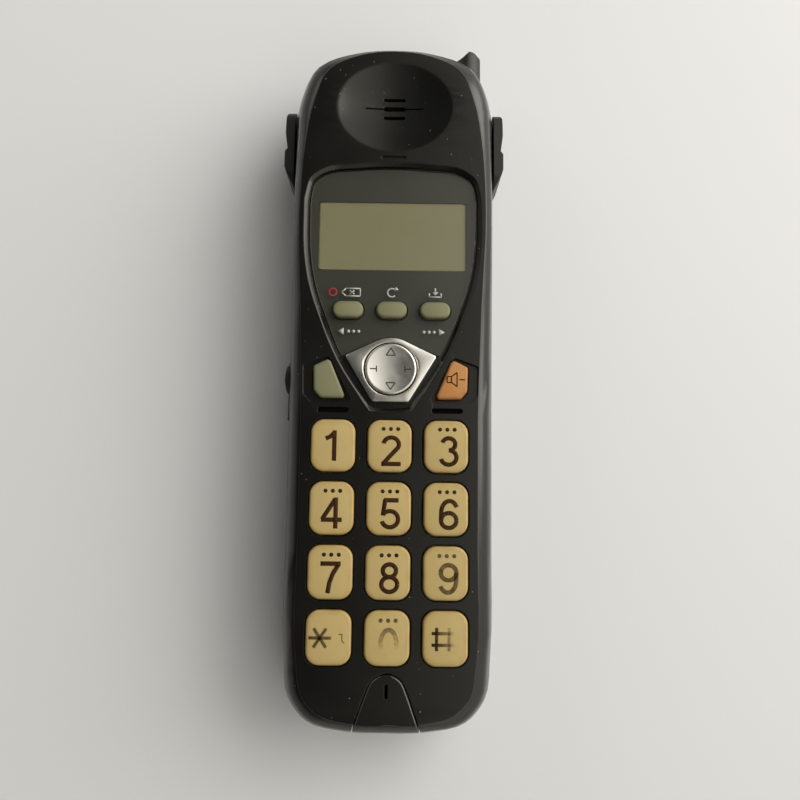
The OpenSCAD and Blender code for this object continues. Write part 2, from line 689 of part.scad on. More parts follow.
module number_key(place) color("#c9b06c") {
    translate([place[0], place[1], 0]) {
        intersection() {
            slab(flange_z, face_z + key_rise + cut) rrect(key_w, key_l, key_r);
            ball([0, 0, face_z + key_rise - key_dome_r], key_dome_r);
        }
        slab(flange_z, flange_z + flange_t) rrect(key_w + 2*flange_w, key_l + 2*flange_w - 0.4, key_r);
    }
    key_press([place]);
}
module soft_key(place) color("#8b8a68") {
    translate([place[0], place[1], 0]) {
        intersection() {
            slab(flange_z, face_z + key_rise) pill(soft_w, soft_l);
            ball([0, 0, face_z + key_rise - low_key - soft_dome_r], soft_dome_r);
        }
        slab(flange_z, flange_z + flange_t) pill(soft_w + 2*flange_w, soft_l + 2*flange_w);
    }
    key_press([place]);
}
module side_key_solid() {
    top_z = face_z + key_rise - low_key;
    middle = [15.6, y_nav - 2.6];
    intersection() {
        slab(flange_z, top_z + cut) side_shape(side_key, 0);
        ball([middle[0], middle[1], top_z - side_dome_r], side_dome_r);
    }
    slab(flange_z, flange_z + flange_t) side_shape(side_key, flange_w);
    key_press([SIDE_PLACES[1]]);
}
module key_1() number_key(key_place(KEYS[0]));
module key_2() number_key(key_place(KEYS[1]));
module key_3() number_key(key_place(KEYS[2]));
module key_4() number_key(key_place(KEYS[3]));
module key_5() number_key(key_place(KEYS[4]));
module key_6() number_key(key_place(KEYS[5]));
module key_7() number_key(key_place(KEYS[6]));
module key_8() number_key(key_place(KEYS[7]));
module key_9() number_key(key_place(KEYS[8]));
module key_star() number_key(key_place(KEYS[9]));
module key_0() number_key(key_place(KEYS[10]));
module key_hash() number_key(key_place(KEYS[11]));
module soft_key_left() soft_key(SOFT_PLACES[0]);
module soft_key_middle() soft_key(SOFT_PLACES[1]);
module soft_key_right() soft_key(SOFT_PLACES[2]);
module talk_key() color("#8b8a68") mirror([1, 0, 0]) side_key_solid();
module speaker_key() color("#c08c50") side_key_solid();

// Rocker: disc above the bezel, plate with four feet below the face, both on a ball on the mat's post
module nav_disc() color("#cfcecb") translate([0, y_nav, 0]) difference() {
    union() {
        rod([0, 0], nav_r, disc_z, disc_top_z - 0.5);
        translate([0, 0, disc_top_z - 0.5]) cylinder(r1 = nav_r, r2 = nav_r - 0.6, h = 0.5);
    }
    ball([0, 0, disc_top_z + 29.6], 30);
    ball([0, 0, pivot_z], pivot_r + seat_gap);
}
module nav_rocker() color("#3a3a38") {
    plate_t = 1;
    translate([0, y_nav, 0]) difference() {
        union() {
            rod([0, 0], nav_r + 1.6, rocker_z, rocker_z + plate_t);
            rod([0, 0], 4.2, rocker_z, disc_z);
        }
        ball([0, 0, pivot_z], pivot_r + seat_gap);
        rod([0, 0], pivot_post_r + 0.7, rocker_z - cut, pivot_z - 0.2);
    }
    for (p = FEET) rod(p, 1.1, board_z + dome_h + 0.6, rocker_z + plate_t/2);
}
module nav_pivot() color("#bdbab2") ball([0, y_nav, pivot_z], pivot_r);

module keypad_mat() color("#5c5a50") {
    slab(board_z, board_z + mat_t) difference() {
        translate([0, (y_row4 - 7 + y_soft + 4)/2]) rrect(40.6, y_soft + 4 - y_row4 + 7, 2);
        for (p = PRESS_PLACES) translate(p) circle(well_r);
        for (p = board_posts) translate(p) circle(post_r + run_gap);
    }
    rod([0, y_nav], pivot_post_r, board_z + mat_t/2, pivot_z - pivot_r);
}
module contact_domes() color("#c8c4b8") for (p = PRESS_PLACES) rod(p, dome_r, board_z, board_z + dome_h);
module main_board() color("#2f6b3c") slab(board_z - board_t, board_z) difference() {
    translate([0, (board_y0 + board_y1)/2]) rrect(board_w, board_y1 - board_y0, board_r);
    for (p = board_posts) translate(p) circle(screw_r);
    for (p = case_screws_bot) translate(p) circle(boss_r + run_gap);
}
module screw(p, head_z, tip_z, r) {
    rod(p, head_r, head_z, head_z + head_t);
    rod(p, r, head_z + head_t, tip_z);
}
module board_screws() color("#b9b7b0") for (p = board_posts)
    screw(p, board_z - board_t - head_t, ceiling_z - 1, pilot_r - 0.25);
module case_screws() color("#b9b7b0") {
    for (p = case_screws_top) screw(p, neck_z + 2 - head_t, boss_hole_z - 1, screw_r);
    for (p = case_screws_bot) screw(p, neck_z - 2 - head_t, boss_hole_z - 1, screw_r);
}
module rf_shield() color("#c4c3bd") translate([0, y_lcd + 4, 0]) difference() {
    slab(board_z - board_t - can_h, board_z - board_t) rrect(can_w, can_l, 1.5);
    slab(board_z - board_t - can_h + can_t, board_z) rrect(can_w - 2*can_t, can_l - 2*can_t, 1.5 - can_t);
}

module lcd_glass() color("#7d785c") slab(lcd_top_z - lcd_t, lcd_top_z)
    translate([0, y_lcd]) square([lcd_w + 3.4, lcd_l + 4.6], center = true);
module lcd_frame() color("#d8d6cc") translate([0, y_lcd, 0]) difference() {
    slab(board_z, frame_top_z) square([frame_w, frame_l], center = true);
    slab(board_z - cut, frame_top_z + cut) {
        translate([0, -1.2]) square([lcd_w + 1.2, lcd_l + 0.8], center = true);
        translate([0, lcd_l/2 + 1.4]) square([lcd_w, 2.2], center = true);
    }
}
module backlight_panel() color("#e9ecd9") slab(board_z, frame_top_z - seat_gap)
    translate([0, y_lcd - 1.2]) square([lcd_w + 0.8, lcd_l + 0.4], center = true);
module lcd_connector() color("#4a3550") slab(board_z, frame_top_z)
    translate([0, y_lcd + lcd_l/2 + 1.4]) square([lcd_w - 0.4, 1.8], center = true);

receiver_top_z = ceiling_z - dish_pad - 0.7;
module receiver() color("#4a4a48") translate([0, y_ear, 0]) {
    rod([0, 0], receiver_r, receiver_top_z - 4.6, receiver_top_z);
    rod([0, 0], 6.5, receiver_top_z - 6.2, receiver_top_z - 4.5);
}
module receiver_gasket() color("#55534d") slab(receiver_top_z, ceiling_z - dish_pad - 0.05)
    translate([0, y_ear]) difference() {
        circle(receiver_r - 0.4);
        circle(receiver_r - 2.6);
    }
module loudspeaker() color("#4a4a48") translate([0, speaker_y, 0]) {
    rod([0, 0], speaker_r, neck_z + back_wall + seat_gap, neck_z + back_wall + speaker_t);
    rod([0, 0], 5, neck_z + back_wall + speaker_t - 0.1, neck_z + back_wall + speaker_t + 1.6);
}
mic_top_z = ceiling_z - 0.6;
module microphone() color("#b9b7b0") rod([0, y_mic], mic_r, mic_top_z - 2.4, mic_top_z);
module mic_boot() color("#2c2c2b") difference() {
    rod([0, y_mic], mic_r + 1.1, board_z, mic_top_z + 0.2);
    rod([0, y_mic], mic_r + 0.05, mic_top_z - 2.45, mic_top_z + cut);
    rod([0, y_mic], 1, board_z - cut, mic_top_z);
}

module battery_cells() color("#6f8f3a") for (i = [-1:1])
    translate([i*cell_pitch, bay_y0 + bay_end_room, cell_z]) rotate([-90, 0, 0]) {
        cylinder(r = cell_r, h = cell_l - 1);
        cylinder(r = 1.9, h = cell_l);
    }
module battery_contacts() color("#cfcdc6") for (i = [-1:1], e = [0, 1])
    translate([i*cell_pitch - 3.4, e == 0 ? bay_y0 : bay_y1 - 0.4, cell_z - 3.4]) {
        cube([6.8, 0.4, 6.8]);
        translate([3.4, e == 0 ? 0.3 : -bay_end_room + 0.5, 3.4]) rotate([-90, 0, 0])
            cylinder(r1 = e == 0 ? 2.4 : 1.2, r2 = e == 0 ? 1.2 : 2.4, h = bay_end_room - 0.4);
    }
module charge_contacts() color("#d8d3c2") for (s = [-1, 1])
    translate([s*9 - 2.5, y_bot + 1.6, 5.5]) cube([5, 3, 6]);

front_cover();
rear_cover();
battery_door();
display_window();
nav_bezel();
mic_tongue();
antenna_stub();
antenna_coil();
belt_clip();
jack_flap();
headset_jack();
key_1();
key_2();
key_3();
key_4();
key_5();
key_6();
key_7();
key_8();
key_9();
key_star();
key_0();
key_hash();
soft_key_left();
soft_key_middle();
soft_key_right();
talk_key();
speaker_key();
nav_disc();
nav_rocker();
nav_pivot();
keypad_mat();
contact_domes();
main_board();
board_screws();
case_screws();
rf_shield();
lcd_glass();
lcd_frame();
backlight_panel();
lcd_connector();
receiver();
receiver_gasket();
loudspeaker();
microphone();
mic_boot();
battery_cells();
battery_contacts();
charge_contacts();
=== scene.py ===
import json
import math

import bmesh
import bpy
import numpy as np
from bpy.props import FloatProperty, FloatVectorProperty, PointerProperty
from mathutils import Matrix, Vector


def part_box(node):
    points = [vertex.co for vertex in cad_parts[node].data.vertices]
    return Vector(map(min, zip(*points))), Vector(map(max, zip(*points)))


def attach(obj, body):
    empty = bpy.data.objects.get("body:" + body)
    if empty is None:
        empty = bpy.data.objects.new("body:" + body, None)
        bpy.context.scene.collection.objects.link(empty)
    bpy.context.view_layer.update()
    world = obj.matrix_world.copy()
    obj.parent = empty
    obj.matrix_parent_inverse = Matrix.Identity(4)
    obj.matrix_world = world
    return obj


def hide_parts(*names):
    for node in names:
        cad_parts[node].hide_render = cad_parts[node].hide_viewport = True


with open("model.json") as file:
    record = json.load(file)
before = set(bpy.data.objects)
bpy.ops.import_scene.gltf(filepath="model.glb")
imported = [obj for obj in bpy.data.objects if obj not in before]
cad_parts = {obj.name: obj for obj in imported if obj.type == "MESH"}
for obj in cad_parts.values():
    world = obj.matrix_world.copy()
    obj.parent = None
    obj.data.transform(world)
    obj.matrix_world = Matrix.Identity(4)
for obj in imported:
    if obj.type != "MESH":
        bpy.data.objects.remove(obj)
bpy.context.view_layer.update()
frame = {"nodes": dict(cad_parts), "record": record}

bl_info = {
    "name": "Cordless handset dressing",
    "version": (1, 0, 0),
    "blender": (4, 5, 0),
    "location": "View3D > Sidebar > Handset",
    "description": "Finishes the shells, keys, rocker, window and fittings of a cordless handset",
    "category": "Object",
}

MM = 0.001
ROOT = "handset"
SLOT_OF = {row["node"]: row["material_slot"] for row in frame["record"]["subparts"]}
SQUARE = np.array([[-1, -1], [1, -1], [1, 1], [-1, 1]])

# Lengths and places from here on are in millimetres
DIGITS = ("1", "2", "3", "4", "5", "6", "7", "8", "9", "star", "0", "hash")
SIGNS = ("star", "hash")
COLUMNS = 3
SOFT_KEYS = ("soft_key_left", "soft_key_middle", "soft_key_right")
# Hidden stem and flange of every key, and the rounded upper edge of the soft and side keys
STEM_RADIUS = 2.0
FLANGE_Z = 27.4
FLANGE_T = 0.8
SMALL_KEY_EDGE = 0.6
# Corners of the speaker key's cap, seen from the rocker's middle. The talk key is its mirror image
SIDE_KEY = np.array([[11.2, -7.6], [17.6, -7.5], [19.3, -5.6], [19.5, 0.6], [16, 2.3], [15.2, 1.9]])
# Groove under each side key: half the size of the painted shade laid in it, its place from the middle line
# and from the first row of keys, and its depth
GROOVE_HALF = np.array([3.85, 0.6])
GROOVE_X = 14.3
GROOVE_ABOVE_ROW = 9
GROOVE_DEPTH = 0.5
# How far the clear opening of the window lies inside the display glass, on each side
DISPLAY_BORDER = np.array([1.7, 2.3])
# Free space that keeps a film or felt off the face below it
FILM_GAP = 0.02
# Printing on the keys: its place off the middle of a key, the share of its height that a stroke is wide, and
# how much wider than its path a digit is drawn
PRINT_SHIFT = {"1": (-0.1, -0.1), "star": (-2.0, 0.0), "hash": (-1.0, 0.0)}
DIGIT_STROKE = 0.143
SIGN_STROKE = 0.1
DIGIT_STRETCH = 1.07
# Wear of the printing on a key: at its middle, and what each millimetre to the right and upwards adds
WEAR = {
    "2": (0.05, 0.0, 0.03),
    "6": (0.15, 0.02, 0.0),
    "9": (0.4, 0.0, 0.0),
    "star": (0.42, 0.02, 0.0),
    "0": (0.66, 0.0, -0.07),
    "hash": (0.5, 0.13, 0.02),
}
NO_WEAR = (0.0, 0.0, 0.0)
# Grain of the finishes. The real grain is finer than a pixel and is drawn this coarse so that it shows
ABS_GRAIN = 0.22
SILICONE_GRAIN = 0.3
PLAIN_GRAIN = 0.25
# Camera fitted to the twelve number keys of the photograph: place in metres, turn in degrees
CAMERA_PLACE = (0.001562, -0.03866, 0.22958)
CAMERA_TURN = (8.01, -0.36, 0.74)
CAMERA_LENS = 36
CAMERA_SENSOR = 36


def linear(code):
    """Scene-linear red, green, blue and alpha of an sRGB hex code."""
    part = np.array([int(code[i : i + 2], 16) for i in (1, 3, 5)]) / 255
    value = np.where(part <= 0.04045, part / 12.92, ((part + 0.055) / 1.055) ** 2.4)
    return (*value.tolist(), 1.0)


def colour(name, description, code):
    """A colour property with its default from a hex code."""
    return FloatVectorProperty(
        name=name, description=description, subtype="COLOR", size=4, min=0, max=1, default=linear(code)
    )


def length(name, description, millimetres):
    """A length property with its default in millimetres."""
    return FloatProperty(
        name=name, description=description, unit="LENGTH", subtype="DISTANCE", min=0, default=millimetres * MM
    )


def power(name, description, watts):
    """A lamp's power, with its default in watts."""
    return FloatProperty(name=name, description=description, unit="POWER", min=0, default=watts)


def strength(name, description, value):
    """Strength of the light from a side of the room."""
    return FloatProperty(name=name, description=description, min=0, default=value)


class HandsetKeys(bpy.types.PropertyGroup):
    """Sizes of the caps, which the solids share, and of their digits."""

    width: length("Key width", "Width of a number key's cap", 10.9)
    depth: length("Key length", "Length of a number key's cap", 12.9)
    corner: length("Key corner", "Corner radius of a number key", 3.2)
    edge: length("Key edge", "Radius of the rounded upper edge", 0.55)
    dome: length("Key dome", "Radius of the domed top of a number key", 75)
    soft_width: length("Soft key width", "Width of a soft key's cap", 7.8)
    soft_depth: length("Soft key length", "Length of a soft key's cap", 4.2)
    soft_dome: length("Soft key dome", "Radius of the domed top of a soft key", 24)
    side_dome: length("Side key dome", "Radius of the domed top of the talk and speaker keys", 40)
    side_corner: length("Side key corner", "Corner radius of the talk and speaker keys", 0.8)
    flange: length("Flange width", "How far the hidden flange stands out round a key", 0.8)
    digit: length("Digit height", "Height of the printed digits", 7.5)


class HandsetColours(bpy.types.PropertyGroup):
    """Colours of the finishes."""

    shell: colour("Shell", "Moulded shells", "#0b0b09")
    clip: colour("Clip", "Belt clip and antenna", "#0d0d0c")
    key: colour("Keys", "Number keys", "#bda56b")
    key_edge: colour("Key edges", "Number keys where they are soiled", "#94733a")
    soft: colour("Soft keys", "Soft keys and talk key", "#817f5e")
    speaker: colour("Speaker key", "Speaker key", "#bd8449")
    legend: colour("Legends", "Printing on the keys", "#331b04")
    print_white: colour("Window print", "Symbols printed on the window", "#a9a99f")
    print_red: colour("Red print", "Ring printed on the window", "#a4282a")
    window: colour("Window border", "Printed border of the window", "#383a33")
    display: colour("Display", "Liquid crystal display at rest", "#a7a58d")
    chrome: colour("Chrome", "Rocker and bezel", "#e9e5da")
    floor: colour("Floor", "Table top", "#e8e7e4")


class HandsetStage(bpy.types.PropertyGroup):
    """Lamps and room round the table."""

    key_light: power("Window light", "Power of the large lamp", 7.6)
    fill_light: power("Fill light", "Power of the second lamp", 0.65)
    sky: strength("Window side", "Strength of the room's light from the window side", 0.95)
    dusk: strength("Far side", "Strength of the room's light from the far side", 0.045)
    walls: strength("Walls", "Strength of the room's light from low down all round", 0.45)


def keys():
    """Sizes that the user has set for the keys."""
    return bpy.context.scene.handset_keys


def colours():
    """Colours that the user has set for the finishes."""
    return bpy.context.scene.handset_colours


# Materials


def add(tree, kind, inputs=None, **settings):
    """Adds a node, sets its properties, and links or sets its inputs."""
    node = tree.nodes.new(kind)
    for name, value in settings.items():
        setattr(node, name, value)
    for name, value in (inputs or {}).items():
        if isinstance(value, bpy.types.NodeSocket):
            tree.links.new(value, node.inputs[name])
        else:
            node.inputs[name].default_value = value
    return node


def material(name, build):
    """The named material, built by build(tree, object coordinates), which returns its shader."""
    found = bpy.data.materials.get(name)
    if found:
        return found
    made = bpy.data.materials.new(name)
    made.use_nodes = True
    tree = made.node_tree
    tree.nodes.clear()
    where = add(tree, "ShaderNodeTexCoord").outputs["Object"]
    shader = build(tree, where)
    add(tree, "ShaderNodeOutputMaterial", {"Surface": shader.outputs[0]})
    return made


def per(millimetres):
    """Texture scale of a pattern whose features are this far apart."""
    return 1 / (millimetres * MM)


def shade(base, factor):
    """A colour made lighter or darker by a factor."""
    return (*(min(1, part * factor) for part in base[:3]), 1)


def specks(tree, where, spacing, reach, chance, amount):
    """How much dust lies at a point: near the middle of a cell, and only in the cells that chance picks."""
    cell = add(tree, "ShaderNodeTexVoronoi", {"Vector": where, "Scale": per(spacing)})
    near = add(
        tree,
        "ShaderNodeMapRange",
        {"Value": cell.outputs["Distance"], "From Min": reach[0], "From Max": reach[1]},
    )
    pick = add(
        tree,
        "ShaderNodeMapRange",
        {"Value": cell.outputs["Color"], "From Min": chance[0], "From Max": chance[1], "To Max": amount},
    )
    both = {0: near.outputs[0], 1: pick.outputs[0]}
    return add(tree, "ShaderNodeMath", both, operation="MULTIPLY").outputs[0]


def satin_abs(base, gloss=(0.2, 0.28), dust=0.6):
    """Moulded ABS: near black, with a warm soft sheen, cloudy wear, fine grain and scattered white dust."""

    def build(tree, where):
        cloud = add(tree, "ShaderNodeTexNoise", {"Vector": where, "Scale": per(14), "Detail": 4.0})
        worn = {0: cloud.outputs["Fac"], 6: base, 7: shade(base, 1.5)}
        tone = add(tree, "ShaderNodeMix", worn, data_type="RGBA").outputs[2]
        speck = specks(tree, where, 1.4, (0.12, 0.06), (0.72, 0.86), dust)
        dusty = {0: speck, 6: tone, 7: linear("#b9b6ad")}
        smear = add(tree, "ShaderNodeTexNoise", {"Vector": where, "Scale": per(22), "Detail": 3.0})
        span = {"From Min": 0.3, "From Max": 0.7, "To Min": gloss[0], "To Max": gloss[1]}
        rough = add(tree, "ShaderNodeMapRange", {"Value": smear.outputs["Fac"], **span})
        grain = add(tree, "ShaderNodeTexNoise", {"Vector": where, "Scale": per(ABS_GRAIN), "Detail": 1.0})
        broken_edge = add(tree, "ShaderNodeBevel", {"Radius": 0.2 * MM}, samples=4)
        pitted = {"Height": grain.outputs["Fac"], "Strength": 0.12, "Distance": 0.02 * MM}
        bump = add(tree, "ShaderNodeBump", {**pitted, "Normal": broken_edge.outputs["Normal"]})
        return add(
            tree,
            "ShaderNodeBsdfPrincipled",
            {
                "Base Color": add(tree, "ShaderNodeMix", dusty, data_type="RGBA").outputs[2],
                "Roughness": rough.outputs[0],
                "IOR": 1.53,
                "Specular Tint": (1.0, 0.98, 0.88, 1.0),
                "Normal": bump.outputs["Normal"],
            },
        )

    return build


def silicone(face, edge):
    """Moulded silicone rubber: translucent and dull, darker and browner in patches towards the edges."""

    def build(tree, where):
        rim = add(tree, "ShaderNodeAttribute", attribute_name="rim").outputs["Fac"]
        cloud = {"Vector": where, "Scale": per(4), "Detail": 4.0}
        patch = add(tree, "ShaderNodeTexNoise", cloud).outputs["Fac"]
        darkening = add(tree, "ShaderNodeMath", {0: rim, 1: patch}, operation="MULTIPLY").outputs[0]
        darkened = add(tree, "ShaderNodeMapRange", {"Value": darkening, "From Min": 0.1, "From Max": 0.7}).outputs[0]
        clean = {0: patch, 6: face, 7: shade(face, 1.12)}
        tone = add(tree, "ShaderNodeMix", clean, data_type="RGBA").outputs[2]
        body = add(tree, "ShaderNodeMix", {0: darkened, 6: tone, 7: edge}, data_type="RGBA")
        fine = {"Vector": where, "Scale": per(SILICONE_GRAIN), "Detail": 2.0}
        grain = add(tree, "ShaderNodeTexNoise", fine)
        pitted = {"Height": grain.outputs["Fac"], "Strength": 0.1, "Distance": 0.03 * MM}
        bump = add(tree, "ShaderNodeBump", pitted)
        return add(
            tree,
            "ShaderNodeBsdfPrincipled",
            {
                "Base Color": body.outputs[2],
                "Roughness": 0.48,
                "IOR": 1.41,
                "Subsurface Weight": 0.2,
                "Subsurface Radius": (1.0, 0.6, 0.25),
                "Subsurface Scale": 0.8 * MM,
                "Normal": bump.outputs["Normal"],
            },
        )

    return build


def plated(base, gloss):
    """Chromed ABS: bright, a little hazed by handling."""

    def build(tree, where):
        cloud = {"Vector": where, "Scale": per(3), "Detail": 6.0}
        haze = add(tree, "ShaderNodeTexNoise", cloud).outputs["Fac"]
        span = {"From Min": 0.35, "From Max": 0.7, "To Min": gloss[0], "To Max": gloss[1]}
        rough = add(tree, "ShaderNodeMapRange", {"Value": haze, **span}).outputs[0]
        dulled = {0: haze, 6: base, 7: shade(base, 0.8)}
        tone = add(tree, "ShaderNodeMix", dulled, data_type="RGBA").outputs[2]
        metal = {"Base Color": tone, "Metallic": 1.0, "Roughness": rough}
        return add(tree, "ShaderNodeBsdfPrincipled", metal)

    return build


def ink(base):
    """Printed ink: matt, thinned and broken where the piece's fade attribute says that fingers wore it."""

    def build(tree, where):
        fade = add(tree, "ShaderNodeAttribute", attribute_name="fade").outputs["Fac"]
        cloud = {"Vector": where, "Scale": per(0.9), "Detail": 5.0, "Roughness": 0.65}
        patch = add(tree, "ShaderNodeTexNoise", cloud).outputs["Fac"]
        wear = add(tree, "ShaderNodeMath", {0: patch, 1: 0.6, 2: fade}, operation="MULTIPLY_ADD")
        span = {"From Min": 0.36, "From Max": 1.15, "To Min": 1.0, "To Max": 0.0}
        kept = add(tree, "ShaderNodeMapRange", {"Value": wear.outputs[0], **span})
        thinned = {0: patch, 6: base, 7: shade(base, 1.4)}
        tone = add(tree, "ShaderNodeMix", thinned, data_type="RGBA").outputs[2]
        matt = {"Base Color": tone, "Roughness": 0.75, "IOR": 1.5, "Specular IOR Level": 0.2}
        paint = add(tree, "ShaderNodeBsdfPrincipled", matt)
        bare = add(tree, "ShaderNodeBsdfTransparent")
        return add(tree, "ShaderNodeMixShader", {0: kept.outputs[0], 1: bare.outputs[0], 2: paint.outputs[0]})

    return build


def mottled(base, size, rough, metallic=0.0, depth=0.8, ior=1.5, bumps=0.05):
    """A plain finish whose tone drifts over patches of the given size, with a fine grain."""

    def build(tree, where):
        drift = add(tree, "ShaderNodeTexNoise", {"Vector": where, "Scale": per(size), "Detail": 4.0})
        drifting = {0: drift.outputs["Fac"], 6: base, 7: shade(base, depth)}
        tone = add(tree, "ShaderNodeMix", drifting, data_type="RGBA").outputs[2]
        grain = add(tree, "ShaderNodeTexNoise", {"Vector": where, "Scale": per(PLAIN_GRAIN), "Detail": 2.0})
        pitted = {"Height": grain.outputs["Fac"], "Strength": bumps, "Distance": 0.03 * MM}
        bump = add(tree, "ShaderNodeBump", pitted).outputs["Normal"]
        values = {"Base Color": tone, "Metallic": metallic, "Roughness": rough, "Normal": bump}
        if not metallic:
            values["IOR"] = ior
        return add(tree, "ShaderNodeBsdfPrincipled", values)

    return build


def smoked_window(border, clear_lo, clear_hi, back_z):
    """Smoked acrylic, clear and glossy in front, its back printed dark except over the display."""

    def build(tree, where):
        lo, hi = (np.array(corner) for corner in (clear_lo, clear_hi))
        middle, half = (lo + hi) / 2, (hi - lo) / 2
        shift, scale = (*(-middle / half), 0.0), (*(1 / half), 0.0)
        placed = add(tree, "ShaderNodeMapping", {"Vector": where, "Location": shift, "Scale": scale})
        away = add(tree, "ShaderNodeVectorMath", {0: placed.outputs[0]}, operation="ABSOLUTE")
        axes = add(tree, "ShaderNodeSeparateXYZ", {0: away.outputs[0]})
        far = add(tree, "ShaderNodeMath", {0: axes.outputs["X"], 1: axes.outputs["Y"]}, operation="MAXIMUM")
        rim = {"Value": far.outputs[0], "From Min": 0.965, "From Max": 1.0}
        printed = add(tree, "ShaderNodeMapRange", rim)
        height = add(tree, "ShaderNodeSeparateXYZ", {0: where}).outputs["Z"]
        behind = add(tree, "ShaderNodeMath", {0: height, 1: back_z}, operation="LESS_THAN")
        both = {0: printed.outputs[0], 1: behind.outputs[0]}
        masked = add(tree, "ShaderNodeMath", both, operation="MULTIPLY")
        smear = add(tree, "ShaderNodeTexNoise", {"Vector": where, "Scale": per(9), "Detail": 5.0})
        span = {"From Min": 0.35, "From Max": 0.7, "To Min": 0.08, "To Max": 0.22}
        rough = add(tree, "ShaderNodeMapRange", {"Value": smear.outputs["Fac"], **span})
        speck = specks(tree, where, 2.6, (0.05, 0.02), (0.6, 0.8), 0.4)
        dusty = {0: speck, 6: border, 7: linear("#a8a69c")}
        tone = add(tree, "ShaderNodeMix", dusty, data_type="RGBA").outputs[2]
        matt = {"Base Color": tone, "Roughness": 0.5, "IOR": 1.49}
        print_back = add(tree, "ShaderNodeBsdfPrincipled", matt)
        through = add(tree, "ShaderNodeBsdfTransparent", {"Color": linear("#f3f2ec")})
        shine = add(tree, "ShaderNodeBsdfGlossy", {"Roughness": rough.outputs[0]})
        inside = add(tree, "ShaderNodeNewGeometry").outputs["Backfacing"]
        outside = add(tree, "ShaderNodeMath", {0: 1.0, 1: inside}, operation="SUBTRACT")
        grazing = {0: add(tree, "ShaderNodeFresnel", {"IOR": 1.49}).outputs[0], 1: outside.outputs[0]}
        sheen = add(tree, "ShaderNodeMath", grazing, operation="MULTIPLY")
        front = {0: sheen.outputs[0], 1: through.outputs[0], 2: shine.outputs[0]}
        clear = add(tree, "ShaderNodeMixShader", front)
        whole = {0: masked.outputs[0], 1: clear.outputs[0], 2: print_back.outputs[0]}
        return add(tree, "ShaderNodeMixShader", whole)

    return build


def finishes():
    """Name and builder of the material of each slot of the record."""
    c = colours()
    lcd_lo, lcd_hi = (np.array(corner[:2]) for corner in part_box("lcd_glass"))
    clear_lo, clear_hi = lcd_lo + DISPLAY_BORDER * MM, lcd_hi - DISPLAY_BORDER * MM
    print_depth = 0.2
    back_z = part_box("display_window")[0][2] + print_depth * MM
    return {
        # Black mouldings, from the satin shells to the duller clip, rubber and socket
        "shell_black": ("moulded ABS satin black", satin_abs(tuple(c.shell))),
        "clip_black": ("moulded nylon black", satin_abs(tuple(c.clip), (0.4, 0.55), 0.2)),
        "rubber_dark": ("rubber dark brown", mottled(linear("#2a2623"), 4, 0.6, ior=1.52)),
        "socket_black": ("moulded PBT black", mottled(linear("#1d1d1c"), 3, 0.45, ior=1.55)),
        # Glossy window over a flat olive display, and the only bright metal on the face
        "window_smoke": ("smoked acrylic", smoked_window(tuple(c.window), clear_lo, clear_hi, back_z)),
        "display_olive": ("liquid crystal glass", mottled(tuple(c.display), 16, 0.25, depth=0.9, bumps=0.0)),
        "chrome": ("chromed ABS", plated(tuple(c.chrome), (0.26, 0.36))),
        # Dull, slightly translucent rubber that is darker in patches at the edges
        "key_amber": ("silicone keys amber", silicone(tuple(c.key), tuple(c.key_edge))),
        "key_olive": ("silicone keys olive", silicone(tuple(c.soft), linear("#5f5f48"))),
        "key_orange": ("silicone key orange", silicone(tuple(c.speaker), linear("#7d4f22"))),
        # Inner works: plain dull mouldings, foam and rubber
        "inner_plastic": ("moulded ABS grey", mottled(linear("#3d3d3a"), 5, 0.5, ior=1.53)),
        "white_plastic": ("moulded polycarbonate white", mottled(linear("#d8d6cc"), 5, 0.45, ior=1.58)),
        "silicone_grey": ("silicone mat grey", mottled(linear("#5c5a50"), 4, 0.6, ior=1.41)),
        "foam": ("foam dark", mottled(linear("#4b4944"), 0.6, 0.9, bumps=0.6)),
        "board_green": ("solder-masked board", mottled(linear("#2f6b3c"), 2.5, 0.35, depth=0.6)),
        "cell_wrap": ("shrink-wrap green", mottled(linear("#5f8f3a"), 8, 0.3)),
        # Inner works: bare metals with a soft shine that drifts
        "steel": ("zinc-plated steel", mottled(linear("#b9b7b0"), 1.2, 0.32, metallic=1.0)),
        "aluminium_can": ("drawn aluminium", mottled(linear("#c4c3bd"), 2, 0.3, metallic=1.0)),
        "copper": ("enamelled copper", mottled(linear("#b4703a"), 1, 0.28, metallic=1.0)),
        "gilt": ("gilt contact", mottled(linear("#c9a659"), 1, 0.25, metallic=1.0)),
    }


def finish_of(slot):
    """Material of a slot of the record."""
    return material(*finishes()[slot])


def key_ink():
    """Brown ink of the printing on the keys."""
    return material("key ink brown", ink(tuple(colours().legend)))


# Meshes


def settle(obj, body, slot, *nodes):
    """Hangs a piece on a body and hides the nodes that it stands for. The slot is not used."""
    if nodes:
        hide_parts(*nodes)
    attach(obj, body)
    return obj


def add_object(name, mesh, finish, sharp=35):
    """An object at the origin with smooth shading up to the sharp angle, in degrees."""
    mesh.materials.clear()
    mesh.materials.append(finish)
    mesh.shade_smooth()
    mesh.set_sharp_from_angle(angle=math.radians(sharp))
    obj = bpy.data.objects.new(name, mesh)
    bpy.context.scene.collection.objects.link(obj)
    return obj


def body_of_node(node):
    """The body that a node rides on."""
    return next(name for name, nodes in frame["record"]["behaviour"]["bodies"].items() if node in nodes)


